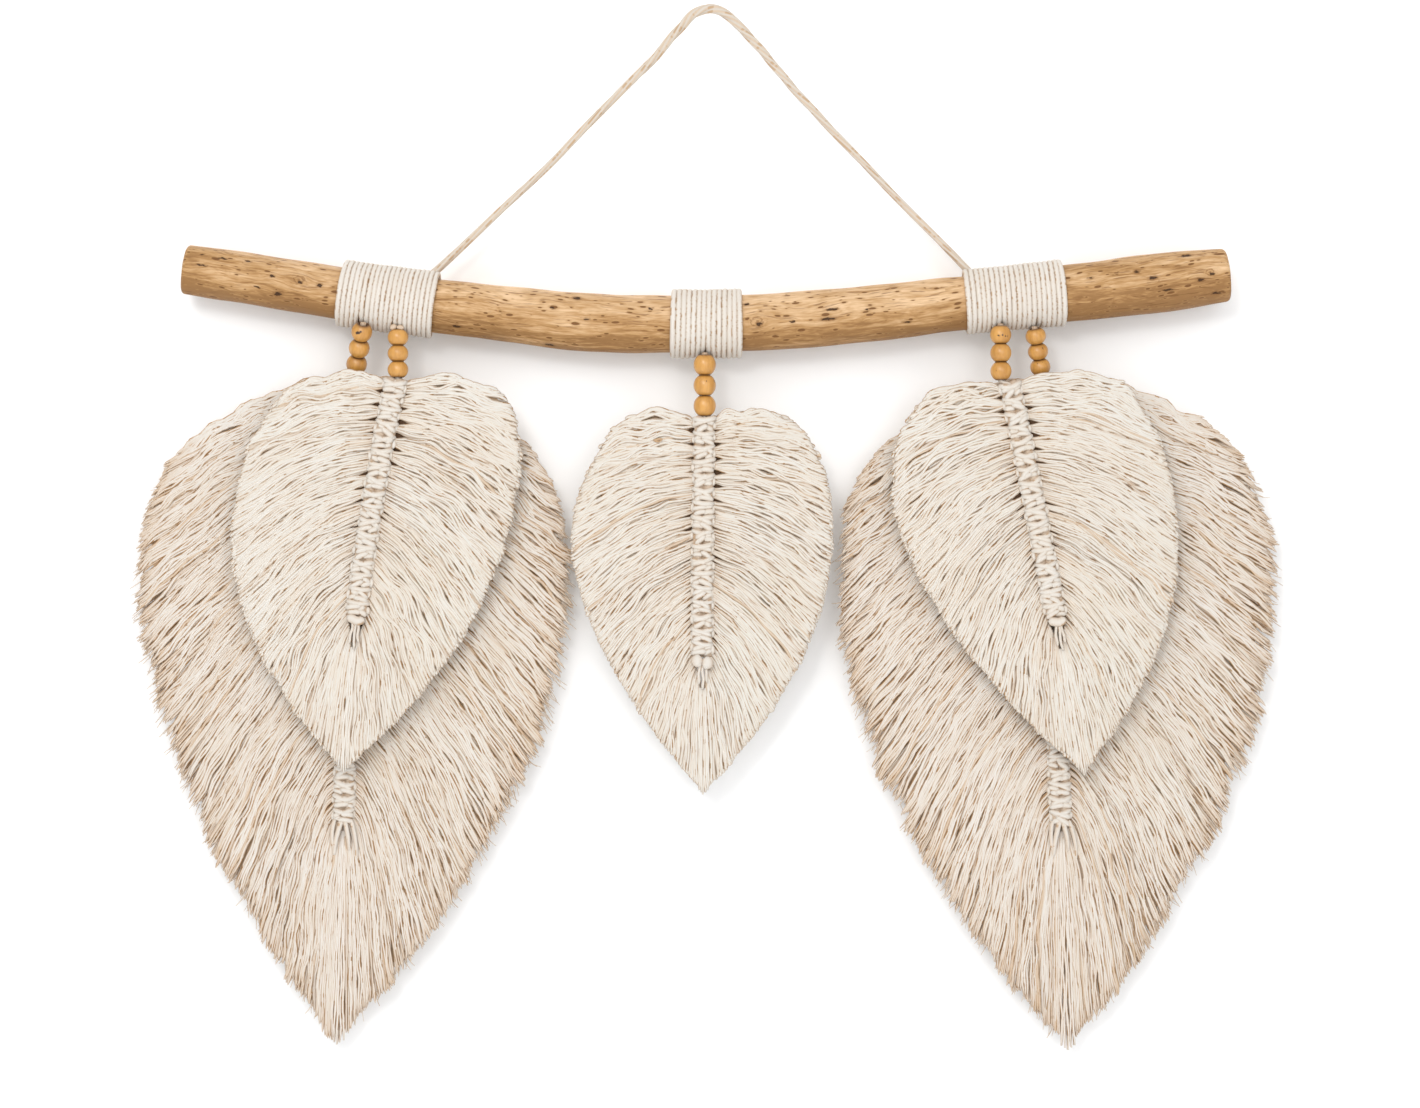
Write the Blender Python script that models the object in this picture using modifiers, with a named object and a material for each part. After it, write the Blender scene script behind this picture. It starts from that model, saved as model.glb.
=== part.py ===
"""Macrame wall hanging: five leaf-shaped knotted pieces under a driftwood branch.

Metres, +Z up, the front faces -Y and +X is to the right. The origin is where the nail carries the
hanging cord, at the inside of the cord's apex. The branch's axis lies in the plane y = 0.

Each leaf is one solid: a core strand that runs down through three beads, a spine of ridged knots
and the locks of its fringe, fused at their roots to the sides of the spine.
"""
import math

import bmesh
import bpy
import numpy as np
from mathutils import Vector

GAP = 0.0003                 # clearance between pieces that touch

# Branch: its axis and radius at stations along X, read as one smooth curve.
BRANCH_STATIONS = (
    # along, height, radius
    (-0.3203, -0.1565, 0.0150),
    (-0.2989, -0.1595, 0.0157),
    (-0.2745, -0.1635, 0.0160),
    (-0.2233, -0.1713, 0.0159),
    (-0.1659, -0.1787, 0.0163),
    (-0.1281, -0.1830, 0.0169),
    (-0.0726, -0.1885, 0.0175),
    (-0.0244, -0.1895, 0.0171),
    (0.0195, -0.1892, 0.0172),
    (0.0671, -0.1862, 0.0175),
    (0.1159, -0.1816, 0.0171),
    (0.1525, -0.1775, 0.0162),
    (0.2172, -0.1712, 0.0169),
    (0.2623, -0.1660, 0.0175),
    (0.2867, -0.1631, 0.0175),
    (0.3154, -0.1598, 0.0163),
)
BRANCH_SIDES = 10
BRANCH_RINGS = 34
RIM_ROUND = 0.0025           # softened rim at each sawn end
SLOPE_STEP = 0.0001          # distance over which the branch's slope is read

# Wraps: cord wound round the branch, each turn a ridge.
WRAPS = (
    # name, from, to, turns, thickness, lift
    ("wrap_left", -0.2252, -0.1672, 20, 0.0042, 0.0004),
    ("wrap_middle", -0.0238, 0.0195, 14, 0.0041, 0.0),
    ("wrap_right", 0.1552, 0.2155, 20, 0.0034, 0.0009),
)
TURN_RELIEF = 0.0008         # depth of the valley between two turns
VALLEY_AT = 0.08             # share of a turn's pitch at which its valley lies
BORE_RINGS = 8

# Hanging cord: from the top of one wrap over the nail to the top of the other.
CORD_DIAMETER = 0.0049
CORD_POINTS = 62
CORD_ROUTE = (
    # along, height
    (-0.1669, -0.1572),
    (-0.1320, -0.1245),
    (-0.0988, -0.0933),
    (-0.0567, -0.0500),
    (-0.0354, -0.0290),
    (-0.0183, -0.0092),
    (-0.0098, -0.0006),
    (0.0000, 0.0028),
    (0.0104, -0.0012),
    (0.0207, -0.0110),
    (0.0512, -0.0464),
    (0.0952, -0.0933),
    (0.1250, -0.1240),
    (0.1562, -0.1557),
)

# Leaves: place of the spine's top and of the tip, depth of the middle plane, sideways bow of the
# spine, number of knots, locks on each side of the tail, and extra arch of the topmost locks.
LEAVES = (
    # name, top x, top z, tip x, tip z, depth, bow, knots, tail locks, arch, fray
    ("leaf_small_left", -0.1906, -0.2245, -0.2226, -0.4605, -0.0115, -0.0045, 18, 3, 17.0, 0.0),
    ("leaf_small_middle", -0.0034, -0.2472, -0.0040, -0.4743, -0.0090, -0.0010, 18, 3, 17.0, 0.0),
    ("leaf_small_right", 0.1818, -0.2265, 0.2265, -0.4621, -0.0115, 0.0010, 18, 3, 17.0, 0.0),
    ("leaf_large_left", -0.2159, -0.2220, -0.2281, -0.6301, 0.0050, 0.0, 32, 4, 0.0, 1.0),
    ("leaf_large_right", 0.2050, -0.2227, 0.2190, -0.6301, 0.0050, 0.0, 32, 4, 0.0, 1.0),
)
# Outline of each half leaf, measured from the spine's top: a superellipse shoulder above the
# widest place and a tapering power curve below it.
OUTLINES = {
    # name: half width, widest at, rise, shoulder power, taper power, first tip's half width
    ("leaf_small_left", -1): (0.0828, 0.0850, 0.0086, 2.50, 2.10, 0.058),
    ("leaf_small_left", 1): (0.0850, 0.0587, 0.0143, 2.80, 2.10, 0.059),
    ("leaf_small_middle", -1): (0.0795, 0.0745, 0.0120, 2.15, 1.70, 0.045),
    ("leaf_small_middle", 1): (0.0786, 0.0730, 0.0090, 2.85, 1.95, 0.044),
    ("leaf_small_right", -1): (0.0839, 0.0640, 0.0133, 2.35, 1.70, 0.050),
    ("leaf_small_right", 1): (0.0843, 0.0737, 0.0200, 2.25, 2.30, 0.067),
    ("leaf_large_left", -1): (0.1304, 0.1290, 0.0080, 2.15, 1.65, 0.100),
    ("leaf_large_left", 1): (0.1353, 0.1346, 0.0070, 2.25, 1.75, 0.098),
    ("leaf_large_right", -1): (0.1311, 0.1327, -0.0104, 2.70, 1.87, 0.092),
    ("leaf_large_right", 1): (0.1368, 0.1263, -0.0047, 2.45, 1.84, 0.088),
}
OUTLINE_POINTS = 80          # points along the shoulder, and along the taper
KNOT_PITCH = 0.0085
SPINE_HALF = 0.0062          # half width of the knotted spine
SPINE_DEPTH = 0.0070
KNOT_INSET = 0.0011
KNOT_RAISE = 0.0022          # how far a knot stands out of the spine's front
TAIL_PITCH = 0.0042          # root pitch of the locks below the last knot
TAIL_HALF = 0.0018           # half width at the tail's lower end
ROOT_GAP = 0.0007            # clear gap between two roots on the spine
BEND_OUT = 22.0              # degrees by which a lock leaves the spine above its chord
BEND_IN = 10.0               # degrees by which it ends below its chord
BEND_REACH = 0.36            # share of the chord over which each bend acts
ARCH_FADE = 0.12             # share of the spine over which the top locks' extra arch fades
TIP_CROWDING = 0.776         # power by which the tips crowd along the outline
TIP_REACH = 0.985            # share of the outline that the side locks take
LOCK_STEPS = (0.30, 0.65, 1.0)
LOCK_DEPTH_AT = (0.0, 0.25, 0.7, 1.0)
LOCK_DEPTH = (0.0070, 0.0066, 0.0056, 0.0034)
LOCK_WEAVE = 0.0004          # neighbouring locks lie this much further front or back
FRAY = 0.022                 # share by which the longest locks of a frayed edge stand out
FRAY_NARROWING = 0.06        # share of its width that a frayed lock loses on each side
FRAY_TURN = 2.4              # radians between neighbours in the wave of the fray
TIP_HALF_LEAST = 0.0008      # least half width of the lock that ends in the leaf's tip

# Beads: three on each core strand, threaded from the wrap to the spine.
BEAD_STRINGS = (
    # leaf, first bead x, y, z, last bead x, y, z, diameter
    ("leaf_small_left", (-0.1893, -0.0111, -0.1986), (-0.1893, -0.0114, -0.2181), 0.0121),
    ("leaf_small_middle", (-0.0032, -0.0107, -0.2152), (-0.0032, -0.0095, -0.2400), 0.0130),
    ("leaf_small_right", (0.1763, -0.0116, -0.1970), (0.1765, -0.0114, -0.2190), 0.0123),
    ("leaf_large_left", (-0.2112, -0.0117, -0.1954), (-0.2154, -0.0018, -0.2143), 0.0121),
    ("leaf_large_right", (0.1981, -0.0063, -0.1975), (0.2013, -0.0018, -0.2160), 0.0119),
)
BEADS_PER_STRING = 3
BEAD_BORE = 0.0049
BEAD_RIM = 0.0007            # flat rim round the bore
BEAD_STEPS = 8
BEAD_ARC_POINTS = 5          # points down the bead's outer side
BEAD_WELD = 0.00001
STRAND = 0.0027              # side of the square core strand
STRAND_TOP = 0.0005          # gap between the strand's upper end and the wrap

WOOD = (0.62, 0.39, 0.20)
BEAD_WOOD = (0.60, 0.32, 0.105)
COTTON = (0.77, 0.69, 0.59)


def clear_scene():
    for item in list(bpy.data.objects):
        bpy.data.objects.remove(item, do_unlink=True)


def collection(name):
    made = bpy.data.collections.new(name)
    bpy.context.scene.collection.children.link(made)
    return made


def finish(item, home, colour, roughness):
    """Put an object in its collection with a material of its own."""
    made = bpy.data.materials.new(item.name)
    made.use_nodes = True
    shader = made.node_tree.nodes["Principled BSDF"]
    shader.inputs["Base Color"].default_value = (*colour, 1.0)
    shader.inputs["Roughness"].default_value = roughness
    shader.inputs["Metallic"].default_value = 0.0
    item.data.materials.clear()
    item.data.materials.append(made)
    home.objects.link(item)


def through(knots, values, at):
    """Smooth curve through the values at the knots: cubic pieces with slopes from neighbours."""
    knots = np.asarray(knots, float)
    values = np.asarray(values, float)
    slopes = np.gradient(values, knots)
    piece = np.clip(np.searchsorted(knots, at) - 1, 0, len(knots) - 2)
    width = knots[piece + 1] - knots[piece]
    t = (at - knots[piece]) / width
    return ((2 * t**3 - 3 * t**2 + 1) * values[piece]
            + (t**3 - 2 * t**2 + t) * width * slopes[piece]
            + (3 * t**2 - 2 * t**3) * values[piece + 1]
            + (t**3 - t**2) * width * slopes[piece + 1])


def branch_at(along):
    """Height, radius and slope of the branch at a place along X."""
    stations = np.array(BRANCH_STATIONS)
    height = through(stations[:, 0], stations[:, 1], along)
    radius = through(stations[:, 0], stations[:, 2], along)
    ahead = through(stations[:, 0], stations[:, 1], along + SLOPE_STEP)
    return float(height), float(radius), float((ahead - height) / SLOPE_STEP)


def branch_ring(along, radius, lift=0.0):
    """Ring square to the branch's axis: the angle runs round from the top."""
    height, _, slope = branch_at(along)
    lean = math.atan(slope)
    turn = np.linspace(0.0, 2.0 * math.pi, BRANCH_SIDES, endpoint=False) + math.pi / BRANCH_SIDES
    up = radius * np.cos(turn) + lift
    return np.stack([along - math.sin(lean) * up, radius * np.sin(turn),
                     height + math.cos(lean) * up], axis=1)


def loft(name, rings, closed):
    """Skin a row of equal rings, either capped at both ends or closed back on the first ring."""
    count = len(rings[0])
    spans = len(rings) if closed else len(rings) - 1
    faces = []
    for span in range(spans):
        near = span * count
        far = (span + 1) % len(rings) * count
        for corner in range(count):
            after = (corner + 1) % count
            faces.append((near + corner, near + after, far + after, far + corner))
    if not closed:
        faces.append(tuple(range(count)))
        faces.append(tuple(range((len(rings) - 1) * count, len(rings) * count)))
    mesh = bpy.data.meshes.new(name)
    mesh.from_pydata(np.concatenate(rings).tolist(), [], faces)
    outward(mesh)
    return bpy.data.objects.new(name, mesh)


def outward(mesh):
    cage = bmesh.new()
    cage.from_mesh(mesh)
    bmesh.ops.recalc_face_normals(cage, faces=cage.faces)
    cage.to_mesh(mesh)
    cage.free()


def smooth(item, degrees):
    item.data.shade_smooth()
    item.data.set_sharp_from_angle(angle=math.radians(degrees))


def make_branch(home):
    start = BRANCH_STATIONS[0][0]
    end = BRANCH_STATIONS[-1][0]
    stops = list(np.linspace(start + RIM_ROUND, end - RIM_ROUND, BRANCH_RINGS))
    rings = [branch_ring(start, branch_at(start)[1] - RIM_ROUND)]
    rings += [branch_ring(stop, branch_at(stop)[1]) for stop in stops]
    rings.append(branch_ring(end, branch_at(end)[1] - RIM_ROUND))
    branch = loft("branch", rings, closed=False)
    smooth(branch, 40)
    finish(branch, home, WOOD, 0.6)


def make_wrap(home, name, start, end, turns, thickness, lift):
    """Sleeve whose outside has one ridge for each turn and whose bore clears the branch."""
    pitch = (end - start) / turns
    outer = []
    for turn in range(turns):
        for share, drop in ((VALLEY_AT, TURN_RELIEF), (0.5, 0.0)):
            stop = start + (turn + share) * pitch
            outer.append(branch_ring(stop, branch_at(stop)[1] + thickness - drop, lift))
    outer.append(branch_ring(end, branch_at(end)[1] + thickness - TURN_RELIEF, lift))
    bore_stops = np.linspace(end, start + VALLEY_AT * pitch, BORE_RINGS)
    clear = GAP / math.cos(math.pi / BRANCH_SIDES) + GAP / 2
    bore = [branch_ring(stop, branch_at(stop)[1] + clear) for stop in bore_stops]
    wrap = loft(name, outer + bore, closed=True)
    smooth(wrap, 60)
    finish(wrap, home, COTTON, 0.85)


def make_hanging_cord(home):
    """Round cord on a smooth curve through its route, one point every 8 mm or so."""
    route = np.array(CORD_ROUTE)
    steps = np.linalg.norm(np.diff(route, axis=0), axis=1)
    knots = np.concatenate([[0.0], np.cumsum(steps)])
    at = np.linspace(0.0, knots[-1], CORD_POINTS)
    data = bpy.data.curves.new("hanging_cord", "CURVE")
    data.dimensions = "3D"
    data.bevel_depth = CORD_DIAMETER / 2
    data.bevel_resolution = 2
    data.use_fill_caps = True
    spline = data.splines.new("POLY")
    spline.points.add(CORD_POINTS - 1)
    across = through(knots, route[:, 0], at)
    height = through(knots, route[:, 1], at)
    for point, x, z in zip(spline.points, across, height):
        point.co = (x, 0.0, z, 1.0)
    finish(bpy.data.objects.new("hanging_cord", data), home, COTTON, 0.85)


def make_bead(home, name, centre, axis, diameter, height):
    """Turned bead: an oval flattened at both ends, with a bore for the core strand."""
    bore = BEAD_BORE / 2
    rim = math.acos((bore + BEAD_RIM) / (diameter / 2))
    oval = height / 2 / math.sin(rim)
    profile = [(diameter / 2 * math.cos(turn), oval * math.sin(turn))
               for turn in np.linspace(rim, -rim, BEAD_ARC_POINTS)]
    profile += [(bore, -height / 2), (bore, height / 2)]
    count = len(profile)
    mesh = bpy.data.meshes.new(name)
    edges = [(index, (index + 1) % count) for index in range(count)]
    mesh.from_pydata([(x, 0.0, z) for x, z in profile], edges, [])
    bead = bpy.data.objects.new(name, mesh)
    bead.location = centre
    bead.rotation_euler = axis.to_track_quat("Z", "Y").to_euler()
    turned = bead.modifiers.new("turned", "SCREW")
    turned.steps = BEAD_STEPS
    turned.render_steps = BEAD_STEPS
    turned.use_merge_vertices = True
    turned.merge_threshold = BEAD_WELD
    finish(bead, home, BEAD_WOOD, 0.35)


def make_beads(home, leaf, first, last, diameter):
    """String of beads in a row, each GAP from the next."""
    run = Vector(last) - Vector(first)
    pitch = run.length / (BEADS_PER_STRING - 1)
    axis = -run.normalized()
    for number in range(BEADS_PER_STRING):
        centre = Vector(first) - axis * pitch * number
        name = leaf.replace("leaf", "bead") + "_" + str(number + 1)
        make_bead(home, name, centre, axis, diameter, pitch - GAP)


class Leaf:
    """Flat shape of one leaf. Out is the distance to a side of its axis, down that along it."""

    def __init__(self, name, top_x, top_z, tip_x, tip_z, depth, bow, knots, tail_locks, arch, fray):
        self.name = name
        self.top = np.array([top_x, top_z])
        along = np.array([tip_x, tip_z]) - self.top
        self.length = float(np.linalg.norm(along))
        self.along = along / self.length
        self.across = np.array([-self.along[1], self.along[0]])
        self.depth = depth
        self.bow = bow
        self.knots = knots
        self.tail_locks = tail_locks
        self.arch = arch
        self.fray = fray
        self.locks = knots + tail_locks
        self.spine_end = knots * KNOT_PITCH
        self.tail_end = self.spine_end + tail_locks * TAIL_PITCH

    def place(self, side, out, down, depth):
        """World points of flat places on one side of the leaf."""
        bowed = self.bow * np.sin(np.pi * np.clip(down / self.length, 0.0, 1.0))
        flat = (self.top[:, None] + self.across[:, None] * (side * out + bowed)
                + self.along[:, None] * down)
        return np.stack([flat[0], self.depth + depth + 0.0 * flat[0], flat[1]], axis=-1)

    def outline(self, side, share):
        """Point at a share of the arc length from the first tip to the leaf's own tip."""
        half, widest, rise, shoulder, taper, first = OUTLINES[self.name, side]
        turn = np.linspace(math.acos((first / half)**(shoulder / 2)), 0.0, OUTLINE_POINTS)
        u = np.linspace(0.0, 1.0, OUTLINE_POINTS)[1:]
        out = np.concatenate([half * np.cos(turn)**(2 / shoulder), half * (1 - u**taper)])
        down = np.concatenate([widest - (widest + rise) * np.sin(turn)**(2 / shoulder),
                               widest + u * (self.length - widest)])
        run = np.concatenate([[0.0], np.cumsum(np.hypot(np.diff(out), np.diff(down)))])
        return np.interp(share * run[-1], run, out), np.interp(share * run[-1], run, down)

    def root(self, s):
        """Place on the side of the spine, or of the tail below it."""
        number = s * self.locks
        on_tail = np.clip(number - self.knots, 0.0, None)
        down = np.minimum(number, self.knots) * KNOT_PITCH + on_tail * TAIL_PITCH
        out = SPINE_HALF - (SPINE_HALF - TAIL_HALF) * on_tail / self.tail_locks
        return out, down

    def flow(self, side, s, t):
        """Point at share t along the strand that starts at share s of the spine.

        The strand is a cubic curve from its root to its tip on the outline. It leaves the spine
        above its chord and ends below it, and both bends fade out towards the leaf's tip.
        """
        out_0, down_0 = self.root(s)
        out_3, down_3 = self.outline(side, TIP_REACH * s**TIP_CROWDING)
        chord = np.hypot(out_3 - out_0, down_3 - down_0)
        angle = np.arctan2(down_3 - down_0, out_3 - out_0)
        leave = angle - np.radians(BEND_OUT * (1 - s**8))
        arrive = angle + np.radians(BEND_IN * (1 - s**4) + self.arch * np.exp(-s / ARCH_FADE))
        reach = BEND_REACH * chord
        out_1 = out_0 + reach * np.cos(leave)
        down_1 = down_0 + reach * np.sin(leave)
        out_2 = out_3 - reach * np.cos(arrive)
        down_2 = down_3 - reach * np.sin(arrive)
        r = 1 - t
        out = r**3 * out_0 + 3 * r * r * t * out_1 + 3 * r * t * t * out_2 + t**3 * out_3
        down = r**3 * down_0 + 3 * r * r * t * down_1 + 3 * r * t * t * down_2 + t**3 * down_3
        return out, down

    def lock_depth(self, t):
        return float(np.interp(t, LOCK_DEPTH_AT, LOCK_DEPTH))


def add_ring(cage, corners):
    return [cage.verts.new(corner) for corner in corners]


def skin(cage, near, far, skip=()):
    """Four faces between two rings of four points, without the ones to skip."""
    made = {}
    for corner in range(4):
        if corner in skip:
            continue
        after = (corner + 1) % 4
        made[corner] = cage.faces.new((near[corner], near[after], far[after], far[corner]))
    return made


def core_ring(centre, half_width, half_depth, across):
    """Corners of the core: front left, front right, back right, back left."""
    centre = np.asarray(centre, float)
    side = np.array([across[0], 0.0, across[1]]) * half_width
    back = np.array([0.0, 1.0, 0.0]) * half_depth
    return [centre - side - back, centre + side - back, centre + side + back, centre - side + back]


def strand_rings(leaf, first, last):
    """Rings of the strand above the spine: under the wrap, at both ends of the beads, and the top."""
    first = np.array(first)
    last = np.array(last)
    pitch = np.linalg.norm(last - first) / (BEADS_PER_STRING - 1)
    along = (last - first) / np.linalg.norm(last - first)
    top = first - along * (pitch / 2 + STRAND_TOP)
    half = STRAND / 2
    level = np.array([1.0, 0.0])
    spine_top = leaf.place(1, np.array([0.0]), np.array([0.0]), 0.0)[0]
    return [core_ring(top, half, half, level),
            core_ring(last + along * (pitch / 2 + GAP), half, half, level),
            core_ring(spine_top, half, half, leaf.across)]


def spine_stops(leaf):
    """Places of the rings down the core: each lock's root, then a gap."""
    stops = []
    for lock in range(leaf.locks):
        pitch = KNOT_PITCH if lock < leaf.knots else TAIL_PITCH
        share = ROOT_GAP / pitch
        stops.append(lock / leaf.locks)
        stops.append((lock + 1 - share) / leaf.locks)
    return stops


def spine_ring(leaf, s):
    out, down = leaf.root(s)
    centre = leaf.place(1, np.array([0.0]), np.array([down]), 0.0)[0]
    return core_ring(centre, out, SPINE_DEPTH / 2, leaf.across)


def grow_lock(cage, leaf, side, number, upper, lower, start, end):
    """Fringe lock of four sides between two flow lines, from its root on the core to its tip."""
    weave = LOCK_WEAVE * (1 if number % 2 else -1)
    stand = FRAY * leaf.fray * math.sin(FRAY_TURN * number + side)
    left_first = side < 0
    ring = [upper[0], lower[0], lower[3], upper[3]] if left_first else [
        upper[1], lower[1], lower[2], upper[2]]
    for t in LOCK_STEPS:
        narrow = FRAY_NARROWING * leaf.fray * (end - start) * t**3
        edges = np.array([start + narrow, end - narrow])
        out, down = leaf.flow(side, edges, np.full(2, t))
        out = out * (1 + stand * t**2)
        half = leaf.lock_depth(t) / 2
        front = leaf.place(side, out, down, weave * t - half)
        back = leaf.place(side, out, down, weave * t + half)
        onward = add_ring(cage, [front[0], front[1], back[1], back[0]])
        skin(cage, ring, onward)
        ring = onward
    cage.faces.new(ring)


def grow_tip_lock(cage, leaf, ring):
    """Lock that carries on from the tail's lower end to the leaf's tip."""
    for t in LOCK_STEPS:
        inner = [leaf.flow(side, np.array([1.0]), np.array([t])) for side in (-1, 1)]
        width = max(min(out[0] for out, _ in inner) - ROOT_GAP, TIP_HALF_LEAST)
        down = max(down[0] for _, down in inner)
        centre = leaf.place(1, np.array([0.0]), np.array([down]), 0.0)[0]
        onward = add_ring(cage, core_ring(centre, width, leaf.lock_depth(t) / 2, leaf.across))
        skin(cage, ring, onward)
        ring = onward
    cage.faces.new(ring)


def make_leaf(home, row, string):
    """Core strand, ridged spine and fringe of one leaf, as one closed solid."""
    leaf = Leaf(*row)
    cage = bmesh.new()
    strand = [add_ring(cage, ring) for ring in strand_rings(leaf, string[1], string[2])]
    stops = spine_stops(leaf)
    core = [add_ring(cage, spine_ring(leaf, stop)) for stop in stops]
    cage.faces.new(strand[0])
    for near, far in zip(strand, strand[1:] + core[:1]):
        skin(cage, near, far)
    knots = []
    for index, (near, far) in enumerate(zip(core, core[1:])):
        is_root = index % 2 == 0
        made = skin(cage, near, far, skip=(1, 3) if is_root else ())
        number = index // 2
        if is_root and number < leaf.knots:
            knots.append(made[0])
        if is_root:
            for side in (-1, 1):
                grow_lock(cage, leaf, side, number, near, far, stops[index], stops[index + 1])
    grow_tip_lock(cage, leaf, core[-1])
    bmesh.ops.recalc_face_normals(cage, faces=cage.faces)
    bmesh.ops.inset_individual(cage, faces=knots, thickness=KNOT_INSET, depth=KNOT_RAISE)
    mesh = bpy.data.meshes.new(leaf.name)
    cage.to_mesh(mesh)
    cage.free()
    made = bpy.data.objects.new(leaf.name, mesh)
    finish(made, home, COTTON, 0.9)


def main():
    clear_scene()
    home = collection("macrame_wall_hanging")
    make_branch(home)
    for row in WRAPS:
        make_wrap(home, *row)
    make_hanging_cord(home)
    strings = {row[0]: row for row in BEAD_STRINGS}
    for row in BEAD_STRINGS:
        make_beads(home, *row)
    for row in LEAVES:
        make_leaf(home, row, strings[row[0]])


main()
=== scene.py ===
"""Looks of the macrame wall hanging: combed fringe, knots, wound cord, beads and driftwood.

Metres, +Z up, the front faces -Y and +X is to the right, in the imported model's own frame.
"""
import math

import bpy
import numpy as np
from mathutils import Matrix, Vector


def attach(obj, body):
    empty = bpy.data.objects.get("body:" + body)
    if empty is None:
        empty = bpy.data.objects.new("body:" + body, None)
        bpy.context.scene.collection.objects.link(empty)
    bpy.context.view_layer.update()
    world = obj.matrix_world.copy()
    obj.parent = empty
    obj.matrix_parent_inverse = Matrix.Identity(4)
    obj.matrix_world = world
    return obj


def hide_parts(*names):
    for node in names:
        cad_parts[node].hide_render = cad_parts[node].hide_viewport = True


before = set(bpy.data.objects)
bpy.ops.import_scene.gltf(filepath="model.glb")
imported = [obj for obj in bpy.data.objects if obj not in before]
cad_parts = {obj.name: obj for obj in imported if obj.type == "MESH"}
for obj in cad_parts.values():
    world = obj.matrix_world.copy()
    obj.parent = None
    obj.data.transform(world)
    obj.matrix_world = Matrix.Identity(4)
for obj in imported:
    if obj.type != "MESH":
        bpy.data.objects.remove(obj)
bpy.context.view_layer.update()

# ------------------------------------------------------------------ places shared with the solids

BRANCH_STATIONS = np.array((
    # along, height, radius
    (-0.3203, -0.1565, 0.0150),
    (-0.2989, -0.1595, 0.0157),
    (-0.2745, -0.1635, 0.0160),
    (-0.2233, -0.1713, 0.0159),
    (-0.1659, -0.1787, 0.0163),
    (-0.1281, -0.1830, 0.0169),
    (-0.0726, -0.1885, 0.0175),
    (-0.0244, -0.1895, 0.0171),
    (0.0195, -0.1892, 0.0172),
    (0.0671, -0.1862, 0.0175),
    (0.1159, -0.1816, 0.0171),
    (0.1525, -0.1775, 0.0162),
    (0.2172, -0.1712, 0.0169),
    (0.2623, -0.1660, 0.0175),
    (0.2867, -0.1631, 0.0175),
    (0.3154, -0.1598, 0.0163),
))
SLOPE_STEP = 0.0001

WRAPS = (
    # name, from, to, turns, thickness, lift
    ("wrap_left", -0.2252, -0.1672, 20, 0.0042, 0.0004),
    ("wrap_middle", -0.0238, 0.0195, 14, 0.0041, 0.0),
    ("wrap_right", 0.1552, 0.2155, 20, 0.0034, 0.0009),
)

CORD_ROUTE = np.array((
    # along, height
    (-0.1669, -0.1572),
    (-0.1320, -0.1245),
    (-0.0988, -0.0933),
    (-0.0567, -0.0500),
    (-0.0354, -0.0290),
    (-0.0183, -0.0092),
    (-0.0098, -0.0006),
    (0.0000, 0.0028),
    (0.0104, -0.0012),
    (0.0207, -0.0110),
    (0.0512, -0.0464),
    (0.0952, -0.0933),
    (0.1250, -0.1240),
    (0.1562, -0.1557),
))

LEAVES = (
    # name, top x, top z, tip x, tip z, depth, bow, knots, tail locks, arch, frayed
    ("leaf_small_left", -0.1906, -0.2245, -0.2226, -0.4605, -0.0115, -0.0045, 18, 3, 17.0, False),
    ("leaf_small_middle", -0.0034, -0.2472, -0.0040, -0.4743, -0.0090, -0.0010, 18, 3, 17.0, False),
    ("leaf_small_right", 0.1818, -0.2265, 0.2265, -0.4621, -0.0115, 0.0010, 18, 3, 17.0, False),
    ("leaf_large_left", -0.2159, -0.2220, -0.2281, -0.6301, 0.0050, 0.0, 32, 4, 0.0, True),
    ("leaf_large_right", 0.2050, -0.2227, 0.2190, -0.6335, 0.0050, 0.0, 32, 4, 0.0, True),
)
OUTLINES = {
    # name, side: half width, widest at, rise, shoulder power, taper power, first tip's half width
    ("leaf_small_left", -1): (0.0828, 0.0850, 0.0072, 2.38, 2.10, 0.058),
    ("leaf_small_left", 1): (0.0850, 0.0587, 0.0138, 2.66, 2.10, 0.059),
    ("leaf_small_middle", -1): (0.0795, 0.0745, 0.0148, 2.08, 1.70, 0.045),
    ("leaf_small_middle", 1): (0.0786, 0.0730, 0.0090, 2.66, 1.95, 0.044),
    ("leaf_small_right", -1): (0.0839, 0.0640, 0.0130, 2.25, 1.70, 0.050),
    ("leaf_small_right", 1): (0.0843, 0.0737, 0.0188, 2.18, 2.30, 0.067),
    ("leaf_large_left", -1): (0.1304, 0.1290, 0.0064, 2.08, 1.68, 0.100),
    ("leaf_large_left", 1): (0.1353, 0.1346, 0.0070, 2.25, 1.75, 0.098),
    ("leaf_large_right", -1): (0.1311, 0.1327, -0.0104, 2.70, 1.79, 0.092),
    ("leaf_large_right", 1): (0.1368, 0.1263, -0.0062, 2.36, 1.88, 0.088),
}
OUTLINE_POINTS = 80
KNOT_PITCH = 0.0085
SPINE_HALF = 0.0062
TAIL_PITCH = 0.0042
TAIL_HALF = 0.0018
BEND_OUT, BEND_IN, BEND_REACH, ARCH_FADE = 22.0, 10.0, 0.36, 0.12
TIP_CROWDING = 0.776
TIP_REACH = 0.985

BEAD_STRINGS = {
    # leaf: first bead's middle, last bead's middle, diameter
    "leaf_small_left": ((-0.1893, -0.0111, -0.1986), (-0.1893, -0.0114, -0.2181), 0.0121),
    "leaf_small_middle": ((-0.0032, -0.0107, -0.2152), (-0.0032, -0.0095, -0.2400), 0.0130),
    "leaf_small_right": ((0.1763, -0.0116, -0.1970), (0.1765, -0.0114, -0.2190), 0.0123),
    "leaf_large_left": ((-0.2112, -0.0117, -0.1954), (-0.2154, -0.0018, -0.2143), 0.0121),
    "leaf_large_right": ((0.1981, -0.0063, -0.1975), (0.2013, -0.0018, -0.2160), 0.0119),
}
GAP = 0.0003
BEAD_BORE = 0.0049
BEAD_RIM = 0.0007

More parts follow.
